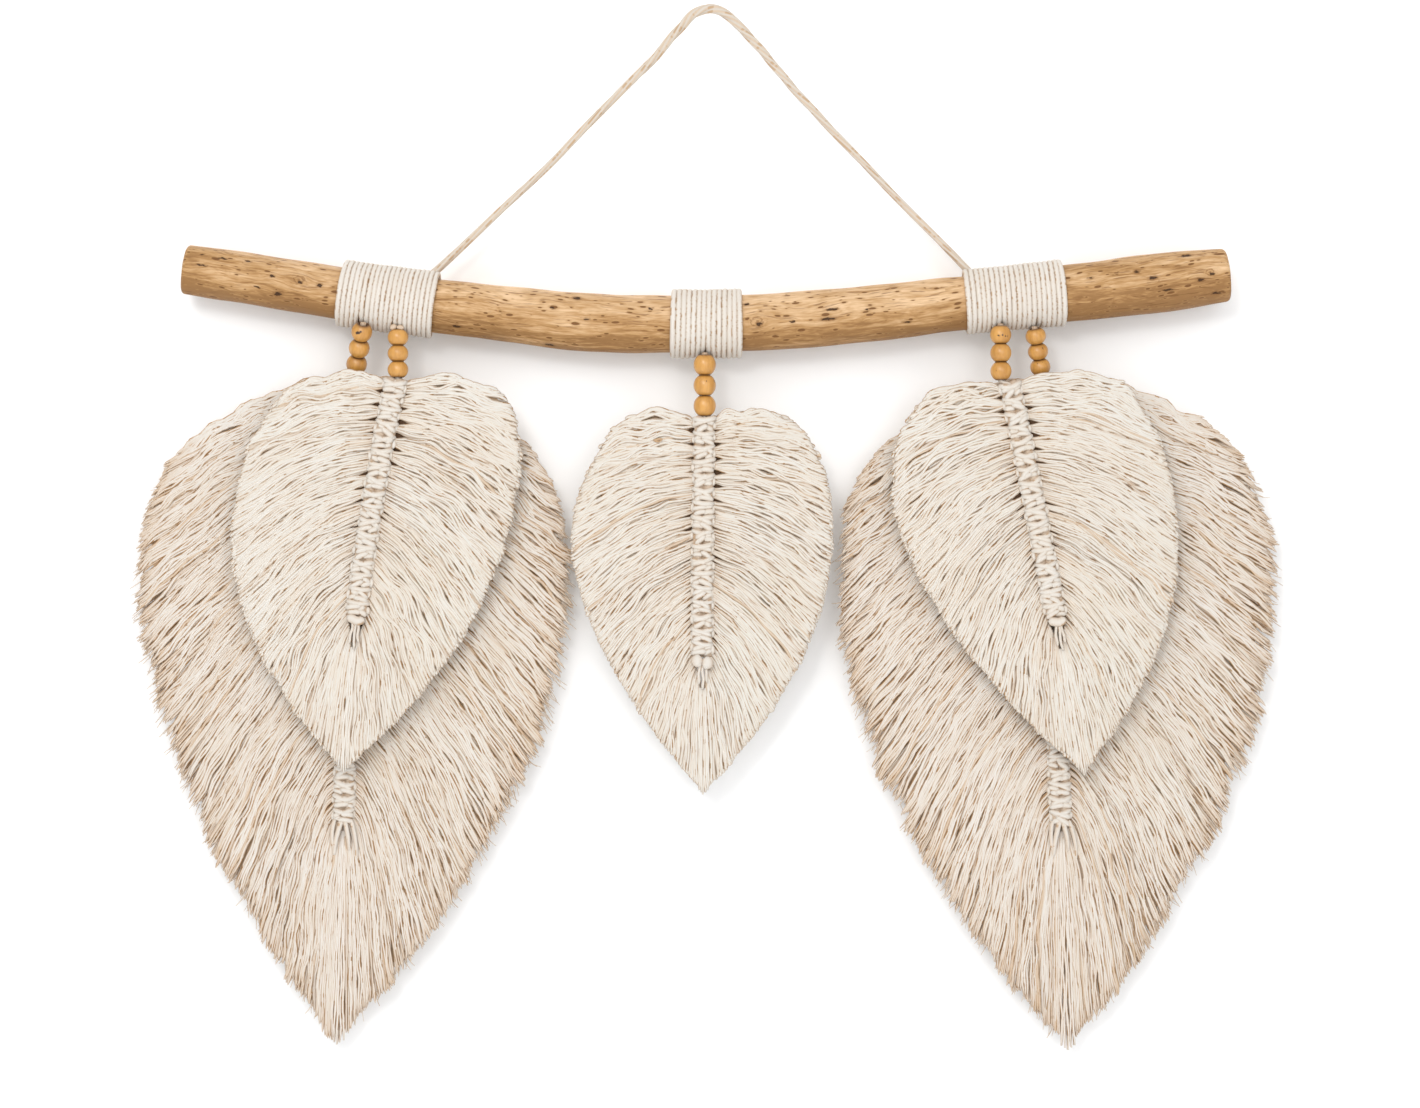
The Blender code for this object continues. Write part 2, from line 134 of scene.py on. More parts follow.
# ------------------------------------------------------------------ this scene's own measures

BEAD_SWELL = 1.045     # the drawn beads bulge a little more than the solids

# Marks on the first beads: place along X, height, half width, half height.
BEAD_MARKS = (
    (-0.2130, -0.1963, 0.0017, 0.0010),
    (-0.2112, -0.1957, 0.0007, 0.0007),
    (0.1744, -0.1979, 0.0009, 0.0005),
    (0.1770, -0.1976, 0.0007, 0.0008),
    (0.1788, -0.1982, 0.0005, 0.0005),
)

# Ring knots in the branch: place along it, height as a share of its radius, radius.
BRANCH_KNOTS = (
    (-0.2493, 0.21, 0.0030),
    (0.0283, -0.05, 0.0034),
    (0.3030, 0.10, 0.0024),
)

# Worm holes and grooves on the front of the branch: place along it, height as a share of its
# radius, half length, half width.
BRANCH_HOLES = (
    (-0.3095, 0.63, 0.0012, 0.0007),
    (-0.2969, 0.58, 0.0028, 0.0008),
    (-0.2820, 0.63, 0.0018, 0.0008),
    (-0.3076, 0.20, 0.0040, 0.0005),
    (-0.2657, 0.20, 0.0015, 0.0009),
    (-0.2365, 0.12, 0.0018, 0.0013),
    (-0.2736, -0.29, 0.0015, 0.0006),
    (-0.2608, -0.43, 0.0020, 0.0015),
    (-0.1524, -0.72, 0.0028, 0.0009),
    (-0.0955, 0.33, 0.0014, 0.0010),
    (-0.0819, 0.76, 0.0024, 0.0012),
    (-0.0749, 0.02, 0.0020, 0.0008),
    (-0.0960, -0.93, 0.0028, 0.0009),
    (-0.0362, 0.47, 0.0014, 0.0009),
    (0.0226, 0.61, 0.0018, 0.0009),
    (0.0498, -0.11, 0.0016, 0.0008),
    (0.0743, 0.21, 0.0038, 0.0008),
    (0.0715, -0.12, 0.0042, 0.0012),
    (0.0952, 0.08, 0.0014, 0.0007),
    (0.1182, -0.48, 0.0026, 0.0007),
    (0.2313, 0.40, 0.0020, 0.0008),
    (0.2594, 0.42, 0.0018, 0.0011),
    (0.2684, 0.13, 0.0026, 0.0013),
    (0.2904, 0.79, 0.0034, 0.0010),
    (0.2970, -0.13, 0.0020, 0.0013),
    (0.2763, -0.33, 0.0036, 0.0009),
    (0.3058, -0.66, 0.0026, 0.0010),
)

# Linear colours.
CREAM = (0.717, 0.720, 0.695)
WARM_CREAM = (0.672, 0.592, 0.497)
FRAYED_CREAM = (0.742, 0.736, 0.716)
FRAYED_WARM = (0.640, 0.549, 0.448)
KNOT_CREAM = (0.662, 0.640, 0.603)
PLIED_CREAM = (0.590, 0.560, 0.516)
CORD_CREAM = (0.716, 0.694, 0.656)
CORD_WARM = (0.590, 0.508, 0.412)
TAN_THREAD = (0.540, 0.370, 0.225)
# Painted shade: tan on the flanks of strands, brown in the dashes and seams between them, and the
# dark sheet inside each leaf. DASH_BROWN is also the husk fleck's own brown.
FLANK_SHADE_TAN = (0.560, 0.375, 0.215)
DASH_BROWN = (0.425, 0.258, 0.130)
DEEP_GAP = (0.150, 0.088, 0.048)
INNER_DARK = (0.070, 0.038, 0.020)
INNER_SHADE = (0.520, 0.365, 0.235)
WOOD_PALE = (0.728, 0.505, 0.304)
WOOD_MID = (0.430, 0.240, 0.092)
WOOD_DEEP = (0.165, 0.069, 0.020)
WOOD_HOLE = (0.048, 0.021, 0.008)
BEAD_PALE = (0.640, 0.330, 0.080)
BEAD_MID = (0.450, 0.205, 0.038)
BEAD_DEEP = (0.090, 0.034, 0.009)
WALL_WHITE = (0.925, 0.930, 0.936)


# ------------------------------------------------------------------ curves and waves

TURN = 2.0 * math.pi
TOWARD_EYE = (0.0, -1.0, 0.0)


def through(knots, values, at):
    """Smooth curve through the values at the knots: cubic pieces with slopes from neighbours."""
    slopes = np.gradient(values, knots)
    part = np.clip(np.searchsorted(knots, at) - 1, 0, len(knots) - 2)
    width = knots[part + 1] - knots[part]
    t = (at - knots[part]) / width
    return ((2 * t**3 - 3 * t**2 + 1) * values[part]
            + (t**3 - 2 * t**2 + t) * width * slopes[part]
            + (3 * t**2 - 2 * t**3) * values[part + 1]
            + (t**3 - t**2) * width * slopes[part + 1])


def ease(x):
    """Smooth step: 3 x squared less 2 x cubed, held at 0 below 0 and at 1 above 1."""
    x = np.clip(x, 0.0, 1.0)
    return x * x * (3.0 - 2.0 * x)


def unit(arrows):
    """Each arrow divided by its length."""
    return arrows / np.maximum(np.linalg.norm(arrows, axis=-1, keepdims=True), 1e-12)


def run_along(points):
    """Distance along each path of points: the sum of its steps' lengths."""
    steps = np.linalg.norm(np.diff(points, axis=-2), axis=-1)
    return np.concatenate([0.0 * steps[..., :1], np.cumsum(steps, axis=-1)], axis=-1)


def turned_from(angle, other):
    """Angle between two directions, between half a turn back and half a turn on."""
    return np.angle(np.exp(1j * (angle - other)))


def sway(rng, rows, distance, shortest, longest, of=slice(None)):
    """Two sine waves along each row, of random lengths and phases, that sum to at most 1. Rows
    that share their waves are given with of, the number of the waves for each."""
    length = rng.uniform(shortest, longest, (2, rows, 1))[:, of]
    phase = rng.uniform(0.0, TURN, (2, rows, 1))[:, of]
    return (0.6 * np.sin(TURN * distance / length[0] + phase[0])
            + 0.4 * np.sin(TURN * distance / length[1] + phase[1]))


def ripple(rng, x, y, x_waves, y_waves, terms=10):
    """Sum of sines across two directions, each with random wave numbers and phase."""
    total = np.zeros(np.broadcast(x, y).shape)
    for _ in range(terms):
        total += np.sin(rng.uniform(*x_waves) * x + rng.choice([-1, 1])
                        * rng.integers(y_waves[0], y_waves[1] + 1) * y
                        + rng.uniform(0.0, TURN))
    return total / math.sqrt(terms)


# ------------------------------------------------------------------ surfaces

class Surface:
    """Closed skins: points, faces of four and of three corners, each with the places round and
    along at its corners, and marks on the points."""

    def __init__(self, points, faces, marks):
        self.points, self.faces, self.marks = points, faces, marks


def together(surfaces):
    """One surface of several."""
    shift = np.cumsum([0] + [len(s.points) for s in surfaces[:-1]])
    faces = [(np.concatenate([s.faces[kind][0] + by for s, by in zip(surfaces, shift)]),
              np.concatenate([s.faces[kind][1] for s in surfaces])) for kind in (0, 1)]
    return Surface(np.concatenate([s.points for s in surfaces]), faces,
                   {name: np.concatenate([s.marks[name] for s in surfaces])
                    for name in surfaces[0].marks})


def skin(rings, along, around_from=0.0, around_turns=1.0, ends=None, **marks):
    """Skin rows of rings, given as (skins, rings, corners, 3), with a pole at each end.

    Without poles each row closes on itself, as a bead's does. The place round runs from
    around_from over around_turns, and the place along is given for each ring, in metres. A mark
    is given for each ring. Where the volume under the faces is negative, all are turned over,
    so that they face outward.
    """
    skins, count, corners, _ = rings.shape
    spans = count if ends is None else count - 1
    numbers = np.arange(skins * count * corners).reshape(skins, count, corners)
    after = np.roll(numbers, -1, axis=1)
    quads = np.stack([numbers, np.roll(numbers, -1, axis=2), np.roll(after, -1, axis=2), after],
                     axis=-1)[:, :spans].reshape(-1, 4)
    places = np.stack(np.broadcast_arrays(
        around_from + around_turns * np.arange(corners + 1) / corners, along[..., None]), -1)
    left, right = places[:, :, :-1], places[:, :, 1:]
    quad_places = np.stack([left, right, np.roll(right, -1, axis=1), np.roll(left, -1, axis=1)],
                           axis=-2)[:, :spans].reshape(-1, 4, 2)
    points = rings.reshape(-1, 3)
    tris, tri_places = np.zeros((0, 3), int), np.zeros((0, 3, 2))
    if ends is not None:
        poles = len(points) + np.arange(2 * skins).reshape(2, skins, 1)
        first, last = numbers[:, 0], numbers[:, -1]
        tris = np.concatenate([
            np.stack(np.broadcast_arrays(poles[0], np.roll(first, -1, axis=1), first), -1),
            np.stack(np.broadcast_arrays(poles[1], last, np.roll(last, -1, axis=1)), -1),
        ]).reshape(-1, 3)
        middle = (left + right) / 2
        tri_places = np.concatenate([
            np.stack([middle[:, 0], right[:, 0], left[:, 0]], axis=-2),
            np.stack([middle[:, -1], left[:, -1], right[:, -1]], axis=-2)]).reshape(-1, 3, 2)
        points = np.concatenate([points, *ends])
    spread = {}
    for name, value in marks.items():
        value = np.broadcast_to(value, (skins, count))
        poles = [value[:, 0], value[:, -1]] if ends is not None else []
        spread[name] = np.concatenate([np.repeat(value.ravel(), corners), *poles])
    faces = [(quads, quad_places), (tris, tri_places)]
    a, b, c = points[np.concatenate([quads[:, :3], quads[:, [0, 2, 3]], tris])].swapaxes(0, 1)
    if np.sum(a * np.cross(b, c)) < 0.0:
        faces = [(numbers[:, ::-1], at[:, ::-1]) for numbers, at in faces]
    return Surface(points, faces, spread)


def tubes(paths, radii, sides, facing=TOWARD_EYE, around_from=0.0, flatness=1.0,
          shade=0.0, fold=0.0, tip=0.0):
    """Round tubes along many paths at once, as (tubes, points, 3) with a radius at each point.

    Each corner is centre + radius * (cos a * up + sin a * beside). Up is the facing direction
    made square to the path, and beside is square to both. A low pole closes each end. The marks
    are the strand's own shade of colour, warmer on the inside layer as painted shade; the painted
    shade that darkens it in the seams between clumps, at its root, in the gaps by the knots, in
    the rope inside the knots and between the beads, and on the husk fleck and the string knot
    their own brown; and how near it is to a frayed tip.
    """
    tangent = unit(np.gradient(paths, axis=1))
    facing = np.broadcast_to(facing, paths.shape)
    radii = np.broadcast_to(radii, paths.shape[:2])
    up = unit(facing - np.sum(facing * tangent, axis=-1, keepdims=True) * tangent)
    beside = np.cross(tangent, up)
    angle = TURN * np.arange(sides) / sides
    rings = (paths[:, :, None] + radii[:, :, None, None]
             * (flatness * np.cos(angle)[:, None] * up[:, :, None]
                + np.sin(angle)[:, None] * beside[:, :, None]))
    ends = (paths[:, 0] - tangent[:, 0] * radii[:, :1] * 0.6,
            paths[:, -1] + tangent[:, -1] * radii[:, -1:] * 0.6)
    return skin(rings, run_along(paths), around_from, ends=ends, shade=shade, fold=fold, tip=tip)


def added(name, data):
    """New object of the scene, at the origin."""
    made = bpy.data.objects.new(name, data)
    bpy.context.scene.collection.objects.link(made)
    return made


def piece(name, surface, material, replaced):
    """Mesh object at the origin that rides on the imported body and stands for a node."""
    mesh = bpy.data.meshes.new(name)
    (quads, quad_places), (tris, tri_places) = surface.faces
    corners = np.concatenate([quads.ravel(), tris.ravel()]).astype(np.int32)
    starts = np.concatenate([np.arange(len(quads)) * 4, len(quads) * 4 + np.arange(len(tris)) * 3])
    places = np.concatenate([quad_places.ravel(), tri_places.ravel()])
    mesh.vertices.add(len(surface.points))
    mesh.vertices.foreach_set("co", surface.points.astype(np.float32).ravel())
    mesh.loops.add(len(corners))
    mesh.loops.foreach_set("vertex_index", corners)
    mesh.polygons.add(len(starts))
    mesh.polygons.foreach_set("loop_start", starts.astype(np.int32))
    mesh.uv_layers.new(name="strand").data.foreach_set("uv", places.astype(np.float32))
    for mark, values in surface.marks.items():
        kind, field = ("FLOAT_VECTOR", "vector") if values.ndim == 2 else ("FLOAT", "value")
        layer = mesh.attributes.new(mark, kind, "POINT")
        layer.data.foreach_set(field, values.astype(np.float32).ravel())
    mesh.update(calc_edges=True)
    mesh.shade_smooth()
    mesh.materials.append(material)
    made = added(name, mesh)
    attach(made, "root")
    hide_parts(replaced)
    return made


# ------------------------------------------------------------------ shader building

class Wire:
    """Output of a shader node. A sum, difference, product or quotient with it places the next
    Math node, or Vector Math node where it is a vector or a colour."""

    def __init__(self, socket):
        self.socket, self.tree = socket, socket.id_data

    def __add__(self, other):
        return maths("ADD", self, other)

    def __sub__(self, other):
        return maths("SUBTRACT", self, other)

    def __rsub__(self, other):
        return maths("SUBTRACT", other, self)

    def __mul__(self, other):
        return maths("MULTIPLY", self, other)

    def __truediv__(self, other):
        return maths("DIVIDE", self, other)

    def parts(self):
        """Its X, Y and Z."""
        return [Wire(socket) for socket in
                put(self.tree, "ShaderNodeSeparateXYZ", {"Vector": self}).outputs]


def put(tree, kind, feeds=None, **settings):
    """Node with its settings, whose inputs are linked or set."""
    made = tree.nodes.new(kind)
    for name, value in settings.items():
        setattr(made, name, value)
    for name, value in (feeds or {}).items():
        if isinstance(value, Wire):
            tree.links.new(value.socket, made.inputs[name])
        else:
            made.inputs[name].default_value = value
    return made


def maths(operation, *values, clamp=False):
    """Math node, or Vector Math node, on wires and numbers."""
    wire = next(value for value in values if isinstance(value, Wire))
    plain = wire.socket.type == "VALUE"
    made = put(wire.tree, "ShaderNodeMath" if plain else "ShaderNodeVectorMath",
               dict(enumerate(values)), operation=operation)
    if clamp:
        made.use_clamp = True
    return Wire(made.outputs["Value" if operation == "LENGTH" else 0])


def scaled(vector, by):
    """Vector times a wire or a number."""
    return Wire(put(vector.tree, "ShaderNodeVectorMath", {0: vector, "Scale": by},
                    operation="SCALE").outputs["Vector"])


def joined(x, y, z):
    """Vector of three parts, of which at least one is a wire."""
    tree = next(part.tree for part in (x, y, z) if isinstance(part, Wire))
    return Wire(put(tree, "ShaderNodeCombineXYZ", {"X": x, "Y": y, "Z": z}).outputs[0])


def between(value, low, high, to_low=0.0, to_high=1.0):
    """Smooth rise from to_low to to_high while the value goes from low to high."""
    return Wire(put(value.tree, "ShaderNodeMapRange", {
        "Value": value, "From Min": low, "From Max": high, "To Min": to_low, "To Max": to_high},
        interpolation_type="SMOOTHSTEP").outputs["Result"])


def blend(share, first, second):
    """Mix of two colours."""
    first, second = (colour if isinstance(colour, Wire) else (*colour, 1.0)
                     for colour in (first, second))
    return Wire(put(share.tree, "ShaderNodeMix", {0: share, 6: first, 7: second},
                    data_type="RGBA").outputs[2])


def coated(colour, *coats):
    """Colour with others laid over it in turn, each given with its share."""
    for share, over in coats:
        colour = blend(share, colour, over)
    return colour


def noise(vector, scale=1.0, detail=2.0, roughness=0.5, output="Fac"):
    """Soft noise, as a value or as a colour."""
    return Wire(put(vector.tree, "ShaderNodeTexNoise", {
        "Vector": vector, "Scale": scale, "Detail": detail, "Roughness": roughness,
    }).outputs[output])


def mark(tree, name, output="Fac"):
    """One of the marks on a piece's points."""
    return Wire(put(tree, "ShaderNodeAttribute", attribute_name=name).outputs[output])


def position(tree):
    """Place in the hanging's own measures, in metres."""
    return Wire(put(tree, "ShaderNodeTexCoord").outputs["Object"])


def shared_effect(name, inputs, effect):
    """Node group with named inputs, whose outputs are the values that an effect makes of them."""
    tree = bpy.data.node_groups.new(name, "ShaderNodeTree")
    for label, kind in inputs.items():
        tree.interface.new_socket(label, in_out="INPUT", socket_type="NodeSocket" + kind)
    given = tree.nodes.new("NodeGroupInput").outputs
    made = effect(*[Wire(given[label]) for label in inputs])
    for label in made:
        tree.interface.new_socket(label, in_out="OUTPUT", socket_type="NodeSocketFloat")
    put(tree, "NodeGroupOutput", made)
    return tree


def use(tree, shared, **feeds):
    """Outputs, by name, of a shared effect placed in a tree with its inputs linked or set."""
    made = put(tree, "ShaderNodeGroup", {name.replace("_", " "): value
                                         for name, value in feeds.items()}, node_tree=shared)
    return {socket.name: Wire(socket) for socket in made.outputs}


def strand_crevices(place, strand, dash_length, dash_share):
    """Shade between neighbouring strands: the flanks of each strand, darkest in short dashes.

    The flank is a power of the sine of the turn round the strand. The dashes are a noise along
    the strand that passes a threshold, another for each side of each strand.
    """
    around, along, _ = place.parts()
    side = maths("SINE", around * TURN)
    off = maths("ABSOLUTE", side)
    which = strand * 971.0 + maths("SIGN", side) * 17.3
    edge = 1.0 - dash_share
    dash = between(noise(joined(along / dash_length, which, 0.5), detail=1.0), edge, edge + 0.05)
    return {"Flank": maths("POWER", off, 1.8), "Dash": dash * between(off, 0.38, 0.80)}


def cotton_fibres(place, strand, twist):
    """Fine combed fibres: a noise drawn out along the strand, twisted round it."""
    around, along, _ = place.parts()
    angle = (around + along * twist) * TURN
    spot = joined(maths("SINE", angle), maths("COSINE", angle), along * 60.0 + strand * 391.0)
    return {"Tint": noise(spot, 1.1), "Height": noise(spot, 4.0, 3.0, 0.6)}


def wood_grain(grain, size, pit_share):
    """Wood grain: noises of three widths drawn out along the grain, thin dark hairlines and pits.

    Each pit is the middle of a long cell, in some of the cells only and of a size that differs
    by cell. A soft edge round each pit is put out too.
    """
    at = scaled(grain, size)
    bent = at + noise(at * (34, 80, 80), detail=1.0, output="Color") * (0.0, 0.0060, 0.0060)
    streak = noise(bent * (15, 120, 120), 1.0, 3.0, 0.60)
    line = (noise(bent * (42, 420, 420), 1.0, 3.0, 0.60) * 0.6
            + noise(bent * (120, 1300, 1300), 1.0, 2.0, 0.60) * 0.4)
    hair = noise(bent * (55, 760, 760), 1.0, 2.0, 0.55)
    patch = noise(at * (22, 50, 50), detail=1.0)
    cell = put(at.tree, "ShaderNodeTexVoronoi", {"Vector": bent * (135, 430, 430),
                                                 "Scale": 1.0}).outputs
    pick, pick_size, _ = Wire(cell["Color"]).parts()
    chosen = maths("LESS_THAN", pick, pit_share * (patch * 2.0))
    off = Wire(cell["Distance"]) / (pick_size * pick_size * 0.30 + 0.12)
    pit = chosen * between(off, 1.0, 0.70)
    return {"Streak": streak, "Line": line, "Pit": pit,
            "Hairline": between(hair, 0.575, 0.66) * between(patch, 0.38, 0.62, 0.30, 1.0),
            "Pit Edge": chosen * between(off, 1.9, 0.95),
            "Height": line + streak * 1.2 - pit * 1.6}


def slow_blotches(place, size):
    """Slow change of colour over the whole hanging, from a soft noise of the given size."""
    return {"Blotch": between(noise(place, size), 0.3, 0.7)}


CREVICES = shared_effect("strand crevices", {
    "Place": "Vector", "Strand": "Float", "Dash Length": "Float", "Dash Share": "Float",
}, strand_crevices)
FIBRES = shared_effect("cotton fibres", {"Place": "Vector", "Strand": "Float", "Twist": "Float"},
                       cotton_fibres)
GRAIN = shared_effect("wood grain", {"Grain": "Vector", "Size": "Float", "Pit Share": "Float"},
                      wood_grain)
BLOTCHES = shared_effect("slow blotches", {"Position": "Vector", "Size": "Float"}, slow_blotches)


def material_of(name, **values):
    """Material with values set on its shader's own sockets."""
    made = bpy.data.materials.new(name)
    made.use_nodes = True
    shader = made.node_tree.nodes["Principled BSDF"]
    for socket, value in {"Sheen Weight": 0.0, "Sheen Roughness": 0.6,
                          "Specular IOR Level": 0.25}.items():
        shader.inputs[socket].default_value = value
    for socket, value in values.items():
        shader.inputs[socket.replace("_", " ")].default_value = value
    return made, made.node_tree, shader


def painted(shader, colour, height=None, distance=0.0, strength=0.0):
    """Link a colour, and relief where there is some, to a material's shader."""
    tree = colour.tree
    tree.links.new(colour.socket, shader.inputs["Base Color"])
    if height is not None:
        bump = put(tree, "ShaderNodeBump", {"Height": height, "Distance": distance,
                                            "Strength": strength})
        tree.links.new(bump.outputs["Normal"], shader.inputs["Normal"])


def cotton(name, light, warm, dash_share, dash_length, dash_shade, flank_shade, twist, fringed):
    """Undyed cotton. Colour goes from light to warm by strand, place and blotch. Painted shade then
    turns it tan on the flanks and brown in the dashes between strands. Fringe also has tan threads
    and tips, and painted shade darkens it in the seams between clumps, at the roots, by the knots,
    in the rope inside the knots and between the beads; on the husk fleck the same mark is its own
    brown."""
    made, tree, shader = material_of(name, Roughness=0.92, Sheen_Weight=0.03,
                                     Specular_IOR_Level=0.10)
    place = Wire(put(tree, "ShaderNodeUVMap", uv_map="strand").outputs["UV"])
    strand = mark(tree, "shade")
    crevice = use(tree, CREVICES, Place=place, Strand=strand, Dash_Length=dash_length,
                  Dash_Share=dash_share)
    fibre = use(tree, FIBRES, Place=place, Strand=strand, Twist=twist)
    blotch = use(tree, BLOTCHES, Position=position(tree), Size=26.0)["Blotch"]
    warmth = maths("ADD", strand * 0.45 + blotch * 0.16, fibre["Tint"] * 0.30, clamp=True)
    colour = blend(warmth, light, warm)
    if fringed:
        colour = coated(colour, (between(strand, 0.90, 0.97, 0.0, 0.50), TAN_THREAD),
                        (mark(tree, "tip") * 0.50, TAN_THREAD))
    # Painted shade: tan on the flanks of each strand and brown in the dashes between strands.
    colour = coated(colour, (crevice["Flank"] * flank_shade, FLANK_SHADE_TAN),
                    (crevice["Dash"] * dash_shade, DASH_BROWN))
    # Painted shade in the seams between clumps, at the roots, by the knots, in the rope inside the
    # knots and between the beads; the husk fleck's own brown comes through the same mark.
    if fringed:
        fold = mark(tree, "fold")
        colour = coated(colour, (fold * 0.75, DASH_BROWN), (between(fold, 0.95, 1.0), INNER_DARK))
    painted(shader, colour, fibre["Height"], 0.00012, 0.6)
    return made


def inner_layer():
    """Painted shade: a dark sheet inside a leaf that stands for the shade deep among its strands,
    seen only through the gaps between the outer ones: nearly black by the spine, brown further out."""
    made, tree, shader = material_of("shaded_inner_cotton", Roughness=0.95)
    blotch = use(tree, BLOTCHES, Position=position(tree), Size=90.0)["Blotch"]
    painted(shader, coated(blend(blotch * 0.5, INNER_SHADE, DEEP_GAP),
                           (mark(tree, "root"), INNER_DARK)))
    return made


def nearest_ellipse(at, ellipses):
    """Distance to the nearest of some ellipses, each 1 at its edge."""
    reaches = [maths("LENGTH", (at - middle) / halves) for middle, halves in ellipses]
    nearest = reaches[0]
    for reach in reaches[1:]:
        nearest = maths("MINIMUM", nearest, reach)
    return nearest


def on_front(along, share):
    """Place on the front of the branch in the grain's own measures."""
    radius = float(np.interp(along, BRANCH_STATIONS[:, 0], BRANCH_STATIONS[:, 2]))
    return along, radius * share, -radius * math.sqrt(1.0 - share * share)


def driftwood():
    """Dry pale wood: streaks and fine lines along the grain that bend round ring knots, pits,
    worm holes with a dark middle and a brown edge, and growth rings on the sawn ends."""
    made, tree, shader = material_of("driftwood", Roughness=0.60)
    grain_at = mark(tree, "grain", "Vector")
    bent = grain_at
    for along, share, size in BRANCH_KNOTS:
        offset = grain_at - on_front(along, share)
        reach = maths("LENGTH", offset / (size * 3.4, size * 1.7, size * 1.7))
        near = maths("POWER", 2.718, reach * reach * -1.0)
        bent = bent - scaled(offset * (0.0, 0.80, 0.80), near)
    grain = use(tree, GRAIN, Grain=bent, Size=1.0, Pit_Share=0.74)
    blotch = use(tree, BLOTCHES, Position=position(tree), Size=24.0)["Blotch"]
    x, y, z = grain_at.parts()
    # Painted shade: darker on the underside, where the light from above does not fall.
    shaded_underside = between(y, 0.004, -0.015, 0.0, 0.50)
    outer_part = between(maths("ABSOLUTE", x), 0.12, 0.25, -0.11, 0.06)
    tone = (grain["Streak"] * 1.1 + grain["Line"] * 1.8 + blotch * 0.14 + shaded_underside + outer_part)

    shift = noise(grain_at * (420, 900, 900), output="Color") - (0.5, 0.5, 0.5)
    at = grain_at + shift * (0.0046, 0.0020, 0.0020)
    holes = nearest_ellipse(at, [
        (on_front(along, share), (0.9 * length, 0.75 * width, width * 2.0))
        for along, share, length, width in BRANCH_HOLES])
    crescents = nearest_ellipse(at, [
        ((along + 0.35 * size, on_front(along, share)[1] - 0.45 * size,
          on_front(along, share)[2]), (0.42 * size, 0.30 * size, size))
        for along, share, size in BRANCH_KNOTS])
    knots = nearest_ellipse(at, [(on_front(along, share), (size, size * 0.85, size * 2.0))
                                 for along, share, size in BRANCH_KNOTS])
    year = between(maths("SINE", knots * 8.0), -0.4, 1.0, 0.0, 0.55)
    nearest = maths("MINIMUM", holes, crescents)
    hole = between(nearest, 1.05, 0.80)

    flat = joined(0.0, y, z)
    rings = maths("SINE", (maths("LENGTH", flat) + noise(flat, 120.0) * 0.0016) * 4600.0)
    sawn = blend(between(rings, -0.6, 1.0, 0.15, 0.75), WOOD_PALE, WOOD_MID)
    colour = coated(blend(between(tone, 0.98, 1.80), WOOD_PALE, WOOD_MID),
                    (between(tone, 1.58, 1.95, 0.0, 0.55), WOOD_DEEP),
                    (grain["Hairline"] * 0.62, WOOD_DEEP), (grain["Pit Edge"] * 0.55, WOOD_MID),
                    (grain["Pit"] * 0.94, WOOD_DEEP),
                    (between(knots, 2.1, 0.9) * year, WOOD_DEEP),
                    (between(nearest, 1.9, 1.0, 0.0, 0.45), WOOD_DEEP),
                    (mark(tree, "dent") * 0.30, WOOD_DEEP), (hole * 0.92, WOOD_HOLE),
                    (mark(tree, "sawn"), sawn))
    painted(shader, colour, grain["Height"] - hole * 5.0, 0.00022, 0.8)
    return made


def bead_wood():
    """Smooth turned wood with a soft gloss: faint grain, painted shade round the bore for the
    creases where the beads meet, a few specks.
    """
    made, tree, shader = material_of("turned_bead_wood", Roughness=0.42, Specular_IOR_Level=0.5,
                                     Coat_Weight=0.35, Coat_Roughness=0.12)
    grain = use(tree, GRAIN, Grain=mark(tree, "grain", "Vector"), Size=1.7, Pit_Share=0.04)
    tone = grain["Streak"] * 0.8 + grain["Line"] * 0.35
    at = position(tree)
    x, y, z = at.parts()
    shift = (noise(at, 900.0, output="Color") - (0.5, 0.5, 0.5)) * (0.0016, 0.0, 0.0016)
    specks = nearest_ellipse(joined(x, 0.0, z) + shift, [
        ((along, 0.0, height), (wide, 1.0, high)) for along, height, wide, high in BEAD_MARKS])
    on_face = maths("LESS_THAN", y, -0.008)
    # The bore mark is painted shade: darker by the bore, in the creases where the beads meet.
    colour = coated(blend(between(tone, 0.40, 0.75, 0.10, 0.90), BEAD_PALE, BEAD_MID),
                    (grain["Pit"] * 0.8, BEAD_DEEP), (mark(tree, "bore"), BEAD_DEEP),
                    (between(specks, 1.1, 0.7) * on_face, WOOD_HOLE))
    painted(shader, colour, grain["Line"], 0.00005, 0.3)
    return made


# ------------------------------------------------------------------ driftwood branch

BRANCH_RIM = 0.0026                    # rounding at the sawn ends
FACE_RINGS = (0.15, 0.4, 0.7, 0.9)     # rings on the sawn faces, as shares of the radius
BODY_RINGS, BRANCH_SIDES = 400, 66


def branch_line(along):
    """Height, radius and lean of the branch's axis at places along X."""
    x, z, r = BRANCH_STATIONS.T
    height = through(x, z, along)
    lean = np.arctan((through(x, z, along + SLOPE_STEP) - height) / SLOPE_STEP)
    return height, through(x, r, along), lean


def on_branch(along, turn, distance, lift=0.0):
    """Point square to the axis, at an angle round from the top and a distance out."""
    height, _, lean = branch_line(along)
    up = distance * np.cos(turn) + lift
    return np.stack(np.broadcast_arrays(along - np.sin(lean) * up, distance * np.sin(turn),
                                        height + np.cos(lean) * up), axis=-1)


